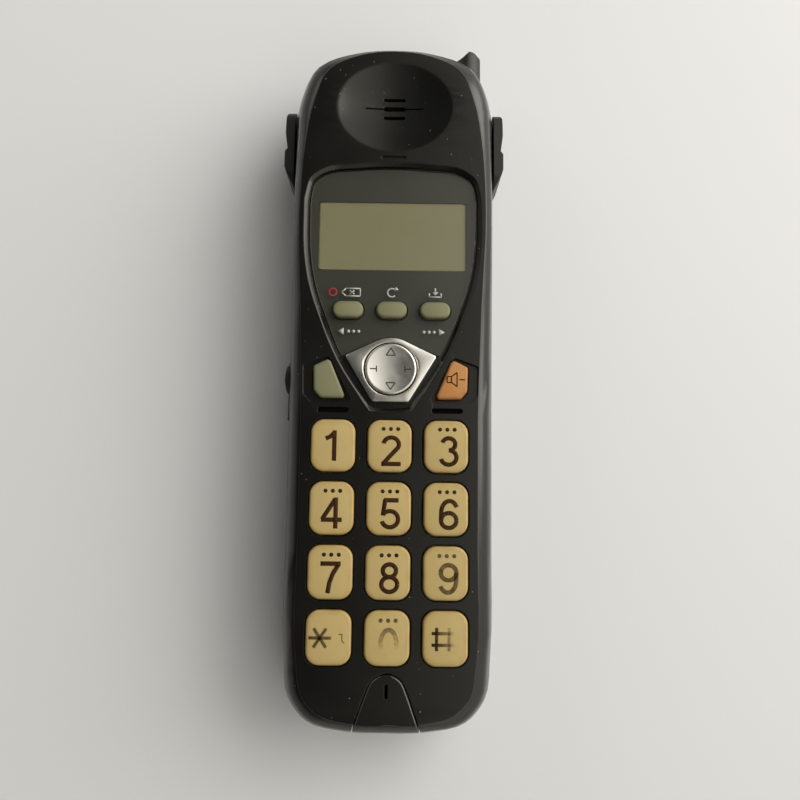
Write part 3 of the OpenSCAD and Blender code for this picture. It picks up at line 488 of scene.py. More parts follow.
def polished_copy(node, name, bevel=0.15, room=0.4, sharp=40, merge=0.05, edge_finish=None, clear=0):
    """A merged copy of a node's mesh with its sharp outer edges broken by a narrow bevel.

    An edge is left sharp where an edge that meets it is shorter than the room, because the bevel
    would cross itself there, and where it is nearer to the middle line than the clear distance.
    The bevel may take a finish of its own, for wear and a painted highlight along the edge.
    """
    flat_angle, smooth_angle, flat_weight = 0.5, 30, 90
    shape = bmesh.new()
    shape.from_mesh(frame["nodes"][node].data)
    bmesh.ops.remove_doubles(shape, verts=shape.verts, dist=merge * MM)
    bmesh.ops.dissolve_limit(
        shape,
        angle_limit=math.radians(flat_angle),
        verts=shape.verts,
        edges=shape.edges,
        delimit={"NORMAL"},
    )
    weight = shape.edges.layers.float.new("bevel_weight_edge")
    for edge in shape.edges:
        outer = edge.is_convex and edge.calc_face_angle(0) > math.radians(sharp)
        tight = min(near.calc_length() for v in edge.verts for near in v.link_edges) < room * MM
        middle = min(abs(v.co.x) for v in edge.verts) < clear * MM
        edge[weight] = float(outer and not tight and not middle)
    mesh = bpy.data.meshes.new(name)
    shape.to_mesh(mesh)
    shape.free()
    obj = add_object(name, mesh, finish_of(SLOT_OF[node]), smooth_angle)
    broken = obj.modifiers.new("Edge", "BEVEL")
    broken.width = bevel * MM
    broken.segments = 2
    broken.limit_method = "WEIGHT"
    broken.use_clamp_overlap = False
    if edge_finish:
        mesh.materials.append(edge_finish)
        broken.material = 1
    flats = obj.modifiers.new("Flats", "WEIGHTED_NORMAL")
    flats.keep_sharp = True
    flats.weight = flat_weight
    return settle(obj, body_of_node(node), SLOT_OF[node], node)


def box_mm(node):
    """Lowest and highest corner of a node, in millimetres."""
    lo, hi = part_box(node)
    return np.array(lo) / MM, np.array(hi) / MM


def middle_of(node):
    """Middle of a node seen from above."""
    lo, hi = box_mm(node)
    return (lo[:2] + hi[:2]) / 2


def rounded(corners, radius, count):
    """Points and outward normals round a convex outline with rounded corners.

    Each corner is moved in by the radius along both edges' normals, an arc swings round it from one
    normal to the next, and the whole loop is then sampled at even steps of its length.
    """
    corners = np.asarray(corners, float)
    along = np.roll(corners, -1, 0) - corners
    along /= np.linalg.norm(along, axis=1)[:, None]
    out = np.stack([along[:, 1], -along[:, 0]], 1)
    before = np.roll(out, 1, 0)
    shift = (before + out) / (1 + (before * out).sum(1))[:, None]
    middles = corners - radius * shift
    start = np.arctan2(before[:, 1], before[:, 0])
    turn = np.mod(np.arctan2(out[:, 1], out[:, 0]) - start, 2 * np.pi)
    angle = start[:, None] + turn[:, None] * np.linspace(0, 1, 24)
    normals = np.stack([np.cos(angle), np.sin(angle)], -1)
    loop = (middles[:, None] + radius * normals).reshape(-1, 2)
    normals = normals.reshape(-1, 2)
    loop, normals = np.vstack([loop, loop[:1]]), np.vstack([normals, normals[:1]])
    run = np.concatenate([[0], np.cumsum(np.linalg.norm(np.diff(loop, axis=0), axis=1))])
    at = np.linspace(0, run[-1], count, endpoint=False)
    points = np.stack([np.interp(at, run, loop[:, k]) for k in (0, 1)], 1)
    facing = np.stack([np.interp(at, run, normals[:, k]) for k in (0, 1)], 1)
    return points, facing / np.linalg.norm(facing, axis=1)[:, None]


def pill(middle, half, count):
    """Rounded outline whose ends are half circles but for a hair of straight edge."""
    hair = 0.01
    return rounded(middle + SQUARE * half, np.min(half) - hair, count)


def skin(rings):
    """Vertices and faces of a closed surface over a grid of rings, row up and place round, with two poles."""
    rows, count = rings.shape[:2]
    grid = np.arange(rows * count).reshape(rows, count)
    ahead = np.roll(grid, -1, 1)
    quads = np.stack([grid[:-1], ahead[:-1], ahead[1:], grid[1:]], -1).reshape(-1, 4)
    foot = np.stack([grid[0], np.full(count, grid.size), ahead[0]], -1)
    head = np.stack([grid[-1], ahead[-1], np.full(count, grid.size + 1)], -1)
    verts = np.vstack([rings.reshape(-1, 3), rings[0].mean(0), rings[-1].mean(0)])
    return verts, quads.tolist() + foot.tolist() + head.tolist()


def ring_skin(rings):
    """Vertices and faces of a surface over a grid of rings that closes both ways, as a ring's does."""
    rows, count = rings.shape[:2]
    grid = np.arange(rows * count).reshape(rows, count)
    ahead, above = np.roll(grid, -1, 1), np.roll(grid, -1, 0)
    quads = np.stack([grid, ahead, np.roll(above, -1, 1), above], -1).reshape(-1, 4)
    return rings.reshape(-1, 3), quads.tolist()


def new_mesh(name, verts, faces):
    """A mesh from vertices in millimetres."""
    mesh = bpy.data.meshes.new(name)
    mesh.from_pydata((np.asarray(verts) * MM).tolist(), [], faces)
    return mesh


def plate(name, outline, low, high, finish, body, slot):
    """A flat plate: rings of one outline up its wall and over a narrow chamfer, closed at both ends."""
    widest = 0.1
    points, normals = outline
    edge = min(widest, (high - low) / 3)
    rings = [(points, low), (points, high - edge), (points - edge * normals, high)]
    verts, faces = skin(np.stack([np.column_stack([ring, np.full(len(ring), z)]) for ring, z in rings]))
    return settle(add_object(name, new_mesh(name, verts, faces), finish), body, slot)


def ball_top(middle, top, radius):
    """Height of a spherical top of the given radius, highest at the middle."""

    def height(points):
        away = ((points - middle) ** 2).sum(-1)
        return top - radius + np.sqrt(radius**2 - away)

    return height


def key_piece(node, outline, height, middle, edge, stem=None):
    """A key: stem, flange, skirt, rounded edge and domed top as rings round one outline.

    Ring points are the outline moved along its normals. Over the edge the inset runs as 1 - cos and the
    drop as 1 - sin of a quarter turn. Over the dome the ring shrinks to the middle and lies on the ball.
    The darker edge tone is full up to the edge, falls as the edge turns, and fades out from the outer to the
    inner share.
    """
    edge_darkening_loss, dome_darkening = 0.55, 0.3
    outer, inner, last = 0.92, 0.6, 0.08
    points, normals = outline
    lo, _ = box_mm(node)
    post = (middle if stem is None else stem) + STEM_RADIUS * normals
    brim = points + keys().flange / MM * normals
    rings = [
        (post, lo[2]),
        (post, FLANGE_Z),
        (brim, FLANGE_Z),
        (brim, FLANGE_Z + FLANGE_T),
        (points, FLANGE_Z + FLANGE_T),
    ]
    darkening = [1.0] * len(rings)
    for turn in np.linspace(0, np.pi / 2, 7):
        ring = points - edge * (1 - np.cos(turn)) * normals
        rings.append((ring, height(ring) - edge * (1 - np.sin(turn))))
        darkening.append(1 - edge_darkening_loss * turn / (np.pi / 2))
    top = points - edge * normals
    for share in np.linspace(outer, last, 12):
        ring = middle + share * (top - middle)
        rings.append((ring, height(ring)))
        darkening.append(max(0.0, dome_darkening * (share - inner) / (outer - inner)))
    count = len(points)
    stack = np.stack([np.column_stack([ring, np.broadcast_to(z, count)]) for ring, z in rings])
    verts, faces = skin(stack)
    verts[-1, 2] = height(verts[-1, :2])
    mesh = new_mesh(node + "_cap", verts, faces)
    rim = mesh.attributes.new("rim", "FLOAT", "POINT")
    rim.data.foreach_set("value", np.concatenate([np.repeat(darkening, count), [1.0, 0.0]]).astype(np.float32))
    obj = add_object(node + "_cap", mesh, finish_of(SLOT_OF[node]))
    return settle(obj, body_of_node(node), SLOT_OF[node], node)


def stamp(name, flat, height, finish, body, slot, step=0.8, thickness=0.05, fade=None):
    """Printing: a flat shape cut on a square grid, laid on the surface below it and given a thin body.

    The height and the fade of the ink are functions of the place on the flat shape.
    """
    lo = np.min([v.co[:2] for v in flat.verts], axis=0)
    hi = np.max([v.co[:2] for v in flat.verts], axis=0)
    for axis in (0, 1):
        facing = (1, 0, 0) if axis == 0 else (0, 1, 0)
        for place in np.arange(lo[axis] + step / 2, hi[axis], step):
            bmesh.ops.bisect_plane(
                flat,
                geom=flat.verts[:] + flat.edges[:] + flat.faces[:],
                plane_co=tuple(place * np.array(facing)),
                plane_no=facing,
            )
    mesh = bpy.data.meshes.new(name)
    flat.to_mesh(mesh)
    flat.free()
    co = np.empty(len(mesh.vertices) * 3, np.float32)
    mesh.vertices.foreach_get("co", co)
    co = co.reshape(-1, 3).astype(float)
    co[:, 2] = height(co[:, :2]) + thickness / 2
    mesh.vertices.foreach_set("co", (co * MM).astype(np.float32).ravel())
    mesh.update()
    if fade:
        worn = mesh.attributes.new("fade", "FLOAT", "POINT")
        worn.data.foreach_set("value", np.clip(fade(co[:, :2]), 0, 1).astype(np.float32))
    obj = add_object(name, mesh, finish)
    body_mod = obj.modifiers.new("Body", "SOLIDIFY")
    body_mod.thickness = thickness * MM
    body_mod.offset = -1
    return settle(obj, body, slot)


def arc(middle, radii, start, end, count=28):
    """Points along an elliptical arc, angles in degrees."""
    angle = np.radians(np.linspace(start, end, count))
    return np.asarray(middle) + np.stack([radii[0] * np.cos(angle), radii[1] * np.sin(angle)], 1)


def digit_paths():
    """Middle lines of the digits' strokes in a box one high, standing on zero and centred left to right."""
    six = [
        arc((0, 0.305), (0.235, 0.24), 0, 360),
        np.vstack([arc((0.02, 0.56), (0.25, 0.375), 28, 180, 20), [[-0.235, 0.31]]]),
    ]
    return {
        "1": [[(0.06, 0), (0.06, 1)], [(0.06, 0.93), (-0.06, 0.8), (-0.21, 0.73)]],
        "2": [np.vstack([arc((0, 0.705), (0.235, 0.23), 172, -28), [[-0.02, 0.34], [-0.245, 0.065]]]),
              [(-0.3, 0.065), (0.3, 0.065)]],
        "3": [arc((-0.01, 0.735), (0.2, 0.2), 165, -90), arc((-0.01, 0.3), (0.24, 0.235), 90, -168)],
        "4": [[(0.12, 0), (0.12, 1)], [(0.1, 0.95), (-0.29, 0.29)], [(-0.32, 0.285), (0.31, 0.285)]],
        "5": [[(-0.2, 0.935), (0.25, 0.935)], [(-0.155, 0.96), (-0.225, 0.44)],
              arc((-0.01, 0.325), (0.25, 0.26), 148, -165)],
        "6": six,
        "7": [[(-0.3, 0.935), (0.31, 0.935)], [(0.26, 0.935), (0.08, 0.62), (-0.02, 0.33), (-0.07, 0)]],
        "8": [arc((0, 0.735), (0.2, 0.2), 0, 360), arc((0, 0.3), (0.24, 0.235), 0, 360)],
        "9": [np.array([0, 1]) - path for path in six],
        "0": [arc((0, 0.5), (0.24, 0.435), 0, 360)],
        "star": [[(-0.36 * np.cos(a), 0.5 - 0.36 * np.sin(a)), (0.36 * np.cos(a), 0.5 + 0.36 * np.sin(a))]
                 for a in np.radians([0, 56, 124])],
        "hash": [[(-0.14, 0.14), (-0.14, 0.86)], [(0.26, 0.14), (0.26, 0.86)],
                 [(-0.3, 0.32), (0.42, 0.32)], [(-0.3, 0.68), (0.42, 0.68)]],
    }


def band(path, width):
    """Quads of an even strip along a path: its points moved to both sides along the path's normals."""
    path = np.asarray(path, float)
    along = np.gradient(path, axis=0)
    side = np.stack([-along[:, 1], along[:, 0]], 1)
    side *= width / 2 / np.linalg.norm(side, axis=1)[:, None]
    left, right = path + side, path - side
    return list(np.stack([right[:-1], right[1:], left[1:], left[:-1]], 1))


def polygons(flat, shapes):
    """Adds flat polygons, each a list of points, to a bmesh."""
    same_place = 1e-4
    for shape in shapes:
        flat.faces.new([flat.verts.new((x, y, 0)) for x, y in np.asarray(shape, float)])
    bmesh.ops.remove_doubles(flat, verts=flat.verts, dist=same_place)
    for face in flat.faces:
        face.normal_update()
        if face.normal.z < 0:
            face.normal_flip()
    return flat


def disc(place, radius, count=20):
    """Points round a circle."""
    angle = np.linspace(0, 2 * np.pi, count, endpoint=False)
    return np.asarray(place) + radius * np.stack([np.cos(angle), np.sin(angle)], 1)


def ring_parts(place, radius, width, start=0.0, turn=2 * np.pi, count=24):
    """Quads of a ring, or of an arc of one."""
    angle = start + turn * np.linspace(0, 1, count + 1)
    spoke = np.stack([np.cos(angle), np.sin(angle)], 1)
    inner, outer = (np.asarray(place) + (radius + side * width / 2) * spoke for side in (-1, 1))
    return list(np.stack([inner[:-1], outer[:-1], outer[1:], inner[1:]], 1))


def bar(a, b, width):
    """Rectangle along a line."""
    a, b = np.asarray(a, float), np.asarray(b, float)
    side = np.array([-(b - a)[1], (b - a)[0]]) / np.linalg.norm(b - a) * width / 2
    return [a - side, b - side, b + side, a + side]


def strokes(points, width, closed=True):
    """Rectangles along the lines from each point to the next, and back to the first if closed."""
    points = list(points)
    return [bar(a, b, width) for a, b in zip(points, points[1:] + points[: int(closed)])]


# Operators


class HANDSET_OT_shells(bpy.types.Operator):
    """Front and rear shell, battery door and microphone tongue"""

    bl_idname = "handset.shells"
    bl_label = "Shells"

    def execute(self, context):
        polished_copy("front_cover", "front_shell")
        polished_copy("rear_cover", "rear_shell")
        polished_copy("battery_door", "door_shell")
        # Lighter grey on the tongue's bevels: painted highlight along its edges, and wear
        worn_and_highlit = material("moulded ABS rubbed grey", satin_abs(linear("#4b4a45"), (0.3, 0.4)))
        polished_copy(
            "mic_tongue",
            "mic_tongue_shell",
            bevel=0.3,
            room=0,
            sharp=80,
            merge=0.08,
            edge_finish=worn_and_highlit,
            clear=1,
        )
        return {"FINISHED"}


class HANDSET_OT_fittings(bpy.types.Operator):
    """Belt clip, antenna, headset flap, microphone felt and the painted shade in the grooves"""

    bl_idname = "handset.fittings"
    bl_label = "Fittings"

    def execute(self, context):
        polished_copy("belt_clip", "clip_body", bevel=0.1, room=0.25)
        polished_copy("antenna_stub", "antenna_body", bevel=0.08, room=0.2)
        polished_copy("jack_flap", "flap_body", bevel=0.08, room=0.2)
        self.lay_felt(thickness=0.13, inset=0.1)
        self.lay_painted_shade(thickness=0.1)
        return {"FINISHED"}

    def lay_felt(self, thickness, inset):
        """A round of felt on the microphone."""
        lo, hi = box_mm("microphone")
        radius = (hi[0] - lo[0]) / 2 - inset
        black = material("felt black", mottled(linear("#131211"), 0.5, 0.95, bumps=0.5))
        low = hi[2] + FILM_GAP
        outline = pill(middle_of("microphone"), np.array([radius, radius]), 48)
        plate("microphone_felt", outline, low, low + thickness, black, ROOT, "foam")

    def lay_painted_shade(self, thickness):
        """A matt black sheet of painted shade in the short groove under each side key."""
        # Near black and matt so that each groove reads dark: painted shade
        painted_shade = material("dirt black", mottled(linear("#0a0908"), 0.5, 0.95, ior=1.1))
        low = box_mm("front_cover")[1][2] - GROOVE_DEPTH + FILM_GAP
        row = middle_of("key_1")[1]
        for name, side in (("left", -1), ("right", 1)):
            outline = pill(np.array([side * GROOVE_X, row + GROOVE_ABOVE_ROW]), GROOVE_HALF, 48)
            plate("groove_painted_shade_" + name, outline, low, low + thickness, painted_shade, ROOT, SLOT_OF["front_cover"])


class HANDSET_OT_number_keys(bpy.types.Operator):
    """Twelve number keys with printed digits"""

    bl_idname = "handset.number_keys"
    bl_label = "Number keys"

    def execute(self, context):
        size = keys()
        half = np.array([size.width, size.depth]) / MM / 2
        paths = digit_paths()
        for place, name in enumerate(DIGITS):
            node = "key_" + name
            middle = middle_of(node)
            outline = rounded(middle + SQUARE * half, size.corner / MM, 96)
            height = ball_top(middle, box_mm(node)[1][2], size.dome / MM)
            key_piece(node, outline, height, middle, size.edge / MM)
            start, *slope = WEAR.get(name, NO_WEAR)

            def fade(points, middle=middle, start=start, slope=slope):
                return start + (points - middle) @ np.array(slope)

            column = place % COLUMNS - COLUMNS // 2
            flat = polygons(bmesh.new(), self.print_shapes(name, paths[name], middle, column))
            stamp("legend_" + name, flat, height, key_ink(), body_of_node(node), SLOT_OF[node], fade=fade)
        return {"FINISHED"}

    def print_shapes(self, name, paths, middle, column):
        """A sign or a digit. Most digits stand low under three dots, and further right in each column."""
        tall = keys().digit / MM
        low_digit = (0.43 + 0.3 * column, -1.2)
        dot_place, dot_pitch, dot_radius = (0.3, 4.2), 1.8, 0.5
        hook, hook_width = [(2.5, 0.9), (3.3, 0.9), (3.3, -0.6), (3.9, -1.2)], 0.28
        foot = middle + np.array(PRINT_SHIFT.get(name, low_digit)) - [0, tall / 2]
        if name in SIGNS:
            wide, stroke = tall, SIGN_STROKE * tall
        else:
            wide, stroke = DIGIT_STRETCH * tall, DIGIT_STROKE * tall
        shapes = []
        for path in paths:
            shapes += band(foot + np.asarray(path) * [wide, tall], stroke)
        if name not in PRINT_SHIFT:
            dots = [middle + dot_place + np.array([dot_pitch * i, 0]) for i in (-1, 0, 1)]
            shapes += [disc(dot, dot_radius) for dot in dots]
        if name == "star":
            shapes += strokes(middle + hook, hook_width, closed=False)
        return shapes


class HANDSET_OT_soft_keys(bpy.types.Operator):
    """Three soft keys under the display"""

    bl_idname = "handset.soft_keys"
    bl_label = "Soft keys"

    def execute(self, context):
        size = keys()
        half = np.array([size.soft_width, size.soft_depth]) / MM / 2
        for node in SOFT_KEYS:
            middle = middle_of(node)
            height = ball_top(middle, box_mm(node)[1][2], size.soft_dome / MM)
            key_piece(node, pill(middle, half, 64), height, middle, SMALL_KEY_EDGE)
        return {"FINISHED"}


class HANDSET_OT_side_keys(bpy.types.Operator):
    """Talk key on the left and speaker key on the right of the rocker"""

    bl_idname = "handset.side_keys"
    bl_label = "Talk and speaker keys"

    def execute(self, context):
        size = keys()
        rocker = np.array([0, middle_of("nav_disc")[1]])
        dome, stem, mark = (15.6, -2.6), (16.2, -3.6), (16.3, -2.6)
        for node, side in (("talk_key", -1), ("speaker_key", 1)):
            mirror = [side, 1]
            corners = SIDE_KEY * mirror + rocker
            outline = rounded(corners[::side], size.side_corner / MM, 96)
            middle = np.multiply(dome, mirror) + rocker
            height = ball_top(middle, box_mm(node)[1][2], size.side_dome / MM)
            key_piece(node, outline, height, middle, SMALL_KEY_EDGE, np.multiply(stem, mirror) + rocker)
        flat = polygons(bmesh.new(), self.speaker_sign(mark + rocker))
        stamp("speaker_mark", flat, height, key_ink(), body_of_node(node), SLOT_OF[node])
        return {"FINISHED"}

    def speaker_sign(self, place):
        """A box, a cone that is open to the box, and one line of sound."""
        line = 0.3
        box = [(-2.1, -0.75), (-1.0, -0.75), (-1.0, 0.75), (-2.1, 0.75)]
        cone = [(-1.0, 0.75), (0.4, 1.8), (0.4, -1.8), (-1.0, -0.75)]
        sound = [(1.0, 0), (2.4, 0)]
        return [
            *strokes(place + box, line),
            *strokes(place + cone, line, closed=False),
            *strokes(place + sound, line, closed=False),
        ]


class HANDSET_OT_rocker(bpy.types.Operator):
    """Chrome bezel and rocker disc"""

    bl_idname = "handset.rocker"
    bl_label = "Rocker"

    def execute(self, context):
        lo, hi = box_mm("nav_disc")
        middle = middle_of("nav_disc")
        radius = hi[0] - middle[0]
        self.plate_bezel(middle, radius)
        disc_height = self.plate_disc(middle, lo[2], hi[2], radius)
        line = 0.3
        arrow = np.array([(-1.15, 3.5), (1.15, 3.5), (0, 5.3)])
        tick = np.array([[(-5.2, 0), (-3.6, 0)], [(-3.6, -0.8), (-3.6, 0.8)]])
        shapes = []
        for flip in (1, -1):
            shapes += strokes(middle + flip * arrow, line)
            shapes += [bar(middle + flip * a, middle + flip * b, line) for a, b in tick]
        stamp(
            "rocker_marks",
            polygons(bmesh.new(), shapes),
            disc_height,
            material("rocker ink grey", ink(linear("#3f3d38"))),
            body_of_node("nav_disc"),
            SLOT_OF["nav_disc"],
        )
        return {"FINISHED"}

    def plate_bezel(self, middle, disc_radius):
        """Each ray from the middle carries one section: it climbs the outer wall, rounds over, rises along
        the sloped top to a lip, and rolls down beside the disc. A point lies its share of the way from the
        outline to the bore along its ray, and its rise is a share of the bezel's height.
        """
        shoulder, low, corner, run_gap = 3.4, 4.6, 0.5, 0.22
        lo, hi = box_mm("nav_bezel")
        wide, foot = (hi[0] - lo[0]) / 2, lo[1] - middle[1]
        arch = hi[1] - middle[1]
        away = math.hypot(wide, shoulder)
        tangent = math.atan2(shoulder, wide) + math.acos(arch / away)
        sweep = np.linspace(tangent, np.pi - tangent, 9)
        corners = np.vstack([
            [[-low, foot], [low, foot], [wide, shoulder]],
            arch * np.stack([np.cos(sweep), np.sin(sweep)], 1),
            [[-wide, shoulder]],
        ])
        outline, _ = rounded(corners, corner, 144)
        reach = np.linalg.norm(outline, axis=1)
        bore = (disc_radius + run_gap) / reach
        share = np.array([0, 0, 0.02, 0.06, 0.12, 0.4, 0.82, 0.88, 0.92, 0.95, 0.98, 1.0, 1.0])
        rise = np.array([0, 0.72, 0.82, 0.87, 0.89, 0.94, 1.0, 0.99, 0.96, 0.91, 0.83, 0.7, 0])
        scale = 1 - share[:, None] * (1 - bore)
        flat = middle + outline * scale[..., None]
        high = np.broadcast_to((lo[2] + rise * (hi[2] - lo[2]))[:, None], scale.shape)
        verts, faces = ring_skin(np.dstack([flat, high]))
        mesh = new_mesh("bezel_plated", verts, faces)
        obj = add_object("bezel_plated", mesh, finish_of(SLOT_OF["nav_bezel"]), 50)
        settle(obj, body_of_node("nav_bezel"), SLOT_OF["nav_bezel"], "nav_bezel")

    def plate_disc(self, middle, low, top, radius):
        """A turned disc: its section leaves a ball seat underneath, runs up the wall, rounds over a raised
        rim and sinks into a hollow. Seat and hollow are parts of balls: their height differs from the
        ball's centre by the square root of R squared less r squared.
        """
        hollow, edge, seat_gap = 30.0, 0.45, 0.3
        inset, top_pole, seat_pole = 0.3, 0.2, 0.1
        pivot_lo, pivot_hi = box_mm("nav_pivot")
        pivot_z = (pivot_lo[2] + pivot_hi[2]) / 2
        seat = (pivot_hi[2] - pivot_lo[2]) / 2 + seat_gap
        satin = material("satin chrome", plated(tuple(colours().chrome), (0.3, 0.42)))
        rim = radius - edge
        sunk = hollow - math.sqrt(hollow**2 - rim**2)

        def dished(points):
            away = ((points - middle) ** 2).sum(-1)
            return top - sunk + hollow - np.sqrt(hollow**2 - away)

        spin = np.linspace(0, 2 * np.pi, 96, endpoint=False)
        spoke = np.stack([np.cos(spin), np.sin(spin)], 1)
        turn = np.linspace(0, np.pi / 2, 6)
        under = np.linspace(seat_pole, math.sqrt(seat**2 - (low - pivot_z) ** 2), 10)
        inside = np.linspace(rim - inset, top_pole, 16)
        wall = [radius - inset, radius]
        radii = np.concatenate([under, wall, radius - edge * (1 - np.cos(turn)), inside])
        flat = middle + radii[:, None, None] * spoke
        high = dished(flat)
        high[: len(under)] = (pivot_z + np.sqrt(seat**2 - under**2))[:, None]
        foot, over = len(under), len(under) + len(wall)
        high[foot:over] = low
        high[over : -len(inside)] = (top - edge * (1 - np.sin(turn)))[:, None]
        verts, faces = skin(np.dstack([flat, high]))
        obj = add_object("rocker_plated", new_mesh("rocker_plated", verts, faces), satin, 50)
        settle(obj, body_of_node("nav_disc"), SLOT_OF["nav_disc"], "nav_disc")
        return dished


class HANDSET_OT_window(bpy.types.Operator):
    """Smoked window with printed symbols, and the display under it"""

    bl_idname = "handset.window"
    bl_label = "Window"

    def execute(self, context):
        lens = polished_copy("display_window", "window_lens").data
        back, top = (corner[2] for corner in box_mm("display_window"))
        back_lift, film_drop, film_inset, film_corner = 0.1, 0.12, 0.1, 0.6
        # The printed back is lifted off the floor of the recess
        co = np.empty(len(lens.vertices) * 3, np.float32)
        lens.vertices.foreach_get("co", co)
        co[2::3] = np.maximum(co[2::3], (back + back_lift) * MM)
        lens.vertices.foreach_set("co", co)
        lens.update()
        lo, hi = box_mm("lcd_glass")
        half = (hi[:2] - lo[:2]) / 2 - DISPLAY_BORDER - film_inset
        film = rounded(middle_of("lcd_glass") + SQUARE * half, film_corner, 64)
        olive = finish_of("display_olive")
        plate("display_film", film, hi[2] + FILM_GAP, back - film_drop, olive, ROOT, "display_olive")

        def level(points):
            return np.full(len(points), top)

        white = material("window print white", ink(tuple(colours().print_white)))
        red = material("window print red", ink(tuple(colours().print_red)))
        signs, ring = self.sign_shapes()
        uncut = 50
        flat = polygons(bmesh.new(), signs)
        stamp("window_print", flat, level, white, ROOT, "window_smoke", step=uncut)
        flat = polygons(bmesh.new(), ring)
        stamp("window_ring", flat, level, red, ROOT, "window_smoke", step=uncut)
        return {"FINISHED"}

    def sign_shapes(self):
        """White signs above and below the soft keys, and the ring beside them, which is red.

        Above the keys: a tag with a cross, a turning arrow, and an arrow into a tray. Below the outer ones:
        an arrow outwards with three dots.
        """
        thin, thick, stem = 0.32, 0.36, 0.4
        above, below = np.array([0, 4.6]), np.array([0, -5.6])
        left, centre, right = (middle_of(node) for node in SOFT_KEYS)
        tag, turn, tray = left + above + [0.6, 0], centre + above, right + above
        edge = np.array([[-2.4, 0], [-1.2, 1.0], [2.4, 1.0], [2.4, -1.0], [-1.2, -1.0]])
        signs = [
            *strokes(tag + edge, thin),
            bar(tag + [-0.3, -0.5], tag + [0.9, 0.5], thin),
            bar(tag + [-0.3, 0.5], tag + [0.9, -0.5], thin),
            *ring_parts(turn, 1.1, thick, 0.6, 4.9),
            turn + np.array([[0.55, 0.75], [1.7, 0.75], [1.1, 1.55]]),
            bar(tray + [-1.5, -1.0], tray + [1.5, -1.0], thick),
            bar(tray + [-1.5, -1.1], tray + [-1.5, 0.0], thick),
            bar(tray + [1.5, -1.1], tray + [1.5, 0.0], thick),
            bar(tray + [0, 1.3], tray + [0, 0.3], stem),
            tray + np.array([[-0.8, 0.3], [0, -0.6], [0.8, 0.3]]),
        ]
        arrow = np.array([[2.5, 0], [1.0, 0.85], [1.0, -0.85]])
        for key, side in ((left, -1), (right, 1)):
            spot = key + below
            signs.append(spot + arrow * [side, 1])
            signs += [disc(spot + [-side * x, 0], 0.4) for x in (0.2, 1.5, 2.8)]
        return signs, ring_parts(left + above + [-4.0, 0], 0.95, 0.34)


class HANDSET_OT_works(bpy.types.Operator):
    """Finishes of the solids, for those that no other piece stands in for"""

    bl_idname = "handset.works"
    bl_label = "Inner works"

    def execute(self, context):
        for node, obj in frame["nodes"].items():
            obj.data.materials.clear()
            obj.data.materials.append(finish_of(SLOT_OF[node]))
        return {"FINISHED"}


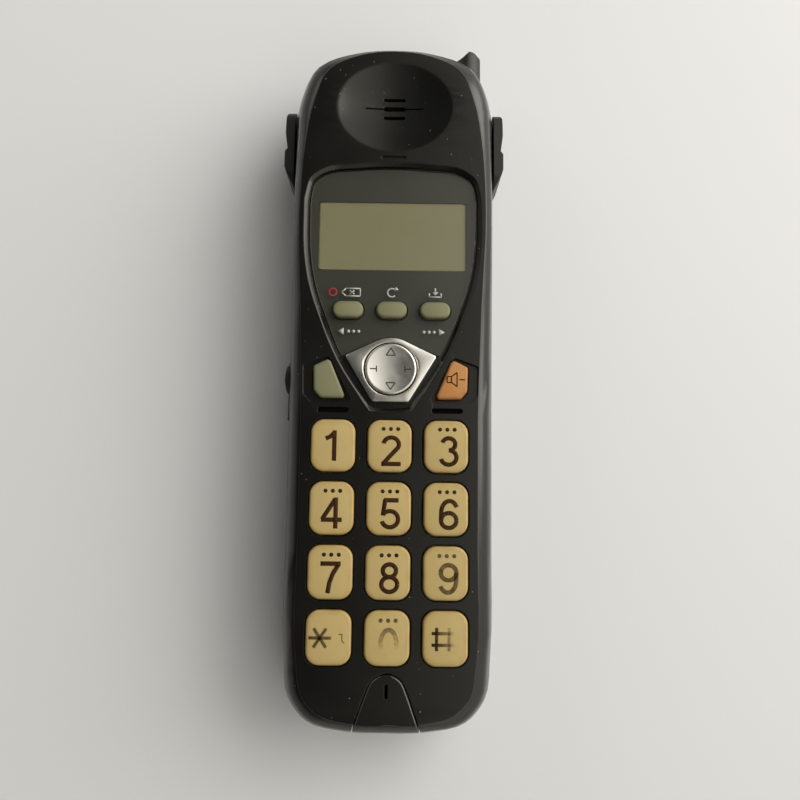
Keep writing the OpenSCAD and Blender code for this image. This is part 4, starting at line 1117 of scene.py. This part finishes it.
class HANDSET_OT_stage(bpy.types.Operator):
    """Table top, room, lamps and camera"""

    bl_idname = "handset.stage"
    bl_label = "Stage"

    def execute(self, context):
        context.scene.view_settings.view_transform = "Standard"
        self.lay_table(context.scene)
        self.light_room(context.scene)
        self.hang_lamps(context.scene)
        self.set_camera(context.scene)
        return {"FINISHED"}

    def lay_table(self, scene):
        """A plain pale table top just under the handset, in metres, as the rest of the stage is."""
        reach, drop = 30.0, 0.0001
        mesh = bpy.data.meshes.new("table")
        mesh.from_pydata([(*corner, -drop) for corner in (SQUARE * reach).tolist()], [], [(0, 1, 2, 3)])
        paint = mottled(tuple(colours().floor), 120, 0.7, depth=0.97, bumps=0.02)
        mesh.materials.append(material("painted table", paint))
        table = bpy.data.objects.new("table", mesh)
        scene.collection.objects.link(table)

    def light_room(self, scene):
        """A room that is bright on the window side and dim on the far side, with pale walls low down."""
        stage = scene.handset_stage
        world = bpy.data.worlds.new("room")
        world.use_nodes = True
        tree = world.node_tree
        tree.nodes.clear()
        way = add(tree, "ShaderNodeSeparateXYZ", {0: add(tree, "ShaderNodeTexCoord").outputs["Generated"]})
        across = {"From Min": -0.03, "From Max": 0.16, "To Min": stage.dusk, "To Max": stage.sky}
        upward = {"From Min": 0.0, "From Max": 0.3, "To Min": stage.walls, "To Max": 0.0}
        light, walls = (
            add(
                tree,
                "ShaderNodeMapRange",
                {"Value": way.outputs[axis], **span},
                interpolation_type="SMOOTHSTEP",
            ).outputs[0]
            for axis, span in (("X", across), ("Z", upward))
        )
        room = add(tree, "ShaderNodeMath", {0: light, 1: walls}, operation="MAXIMUM")
        back = add(tree, "ShaderNodeBackground", {"Color": linear("#fffdf8"), "Strength": room.outputs[0]})
        add(tree, "ShaderNodeOutputWorld", {"Surface": back.outputs[0]})
        scene.world = world

    def hang_lamps(self, scene):
        """Two square lamps that face the handset."""
        stage = scene.handset_stage
        for name, power_in_watts, size, place in (
            ("window_light", stage.key_light, 0.9, (0.68, 0.34, 0.47)),
            ("fill_light", stage.fill_light, 0.4, (-0.5, 0.5, 0.36)),
        ):
            lamp = bpy.data.lights.new(name, "AREA")
            lamp.energy = power_in_watts
            lamp.shape = "SQUARE"
            lamp.size = size
            obj = bpy.data.objects.new(name, lamp)
            obj.location = place
            yaw = math.atan2(place[1], place[0]) + math.pi / 2
            pitch = math.acos(place[2] / np.linalg.norm(place))
            obj.rotation_euler = (pitch, 0, yaw)
            scene.collection.objects.link(obj)

    def set_camera(self, scene):
        """Camera at the photograph's place."""
        lens = bpy.data.cameras.new("camera")
        lens.lens = CAMERA_LENS
        lens.sensor_width = CAMERA_SENSOR
        lens.clip_start = 0.01
        camera = bpy.data.objects.new("camera", lens)
        camera.location = CAMERA_PLACE
        camera.rotation_euler = tuple(math.radians(angle) for angle in CAMERA_TURN)
        scene.collection.objects.link(camera)
        scene.camera = camera


OPERATORS = (
    HANDSET_OT_works,
    HANDSET_OT_shells,
    HANDSET_OT_fittings,
    HANDSET_OT_number_keys,
    HANDSET_OT_soft_keys,
    HANDSET_OT_side_keys,
    HANDSET_OT_rocker,
    HANDSET_OT_window,
    HANDSET_OT_stage,
)


class HANDSET_PT_panel(bpy.types.Panel):
    """Operators and settings of the handset"""

    bl_idname = "HANDSET_PT_panel"
    bl_label = "Handset"
    bl_space_type = "VIEW_3D"
    bl_region_type = "UI"
    bl_category = "Handset"

    def draw(self, context):
        for operator in OPERATORS:
            self.layout.operator(operator.bl_idname)
        for group in (context.scene.handset_keys, context.scene.handset_colours, context.scene.handset_stage):
            box = self.layout.box()
            for name in group.bl_rna.properties.keys():
                if name not in ("rna_type", "name"):
                    box.prop(group, name)


CLASSES = (HandsetKeys, HandsetColours, HandsetStage, *OPERATORS, HANDSET_PT_panel)


def register():
    for cls in CLASSES:
        bpy.utils.register_class(cls)
    bpy.types.Scene.handset_keys = PointerProperty(type=HandsetKeys)
    bpy.types.Scene.handset_colours = PointerProperty(type=HandsetColours)
    bpy.types.Scene.handset_stage = PointerProperty(type=HandsetStage)


def unregister():
    del bpy.types.Scene.handset_stage
    del bpy.types.Scene.handset_colours
    del bpy.types.Scene.handset_keys
    for cls in reversed(CLASSES):
        bpy.utils.unregister_class(cls)


def main():
    register()
    bpy.ops.handset.works()
    bpy.ops.handset.shells()
    bpy.ops.handset.fittings()
    bpy.ops.handset.number_keys()
    bpy.ops.handset.soft_keys()
    bpy.ops.handset.side_keys()
    bpy.ops.handset.rocker()
    bpy.ops.handset.window()
    bpy.ops.handset.stage()


if __name__ == "__main__":
    main()
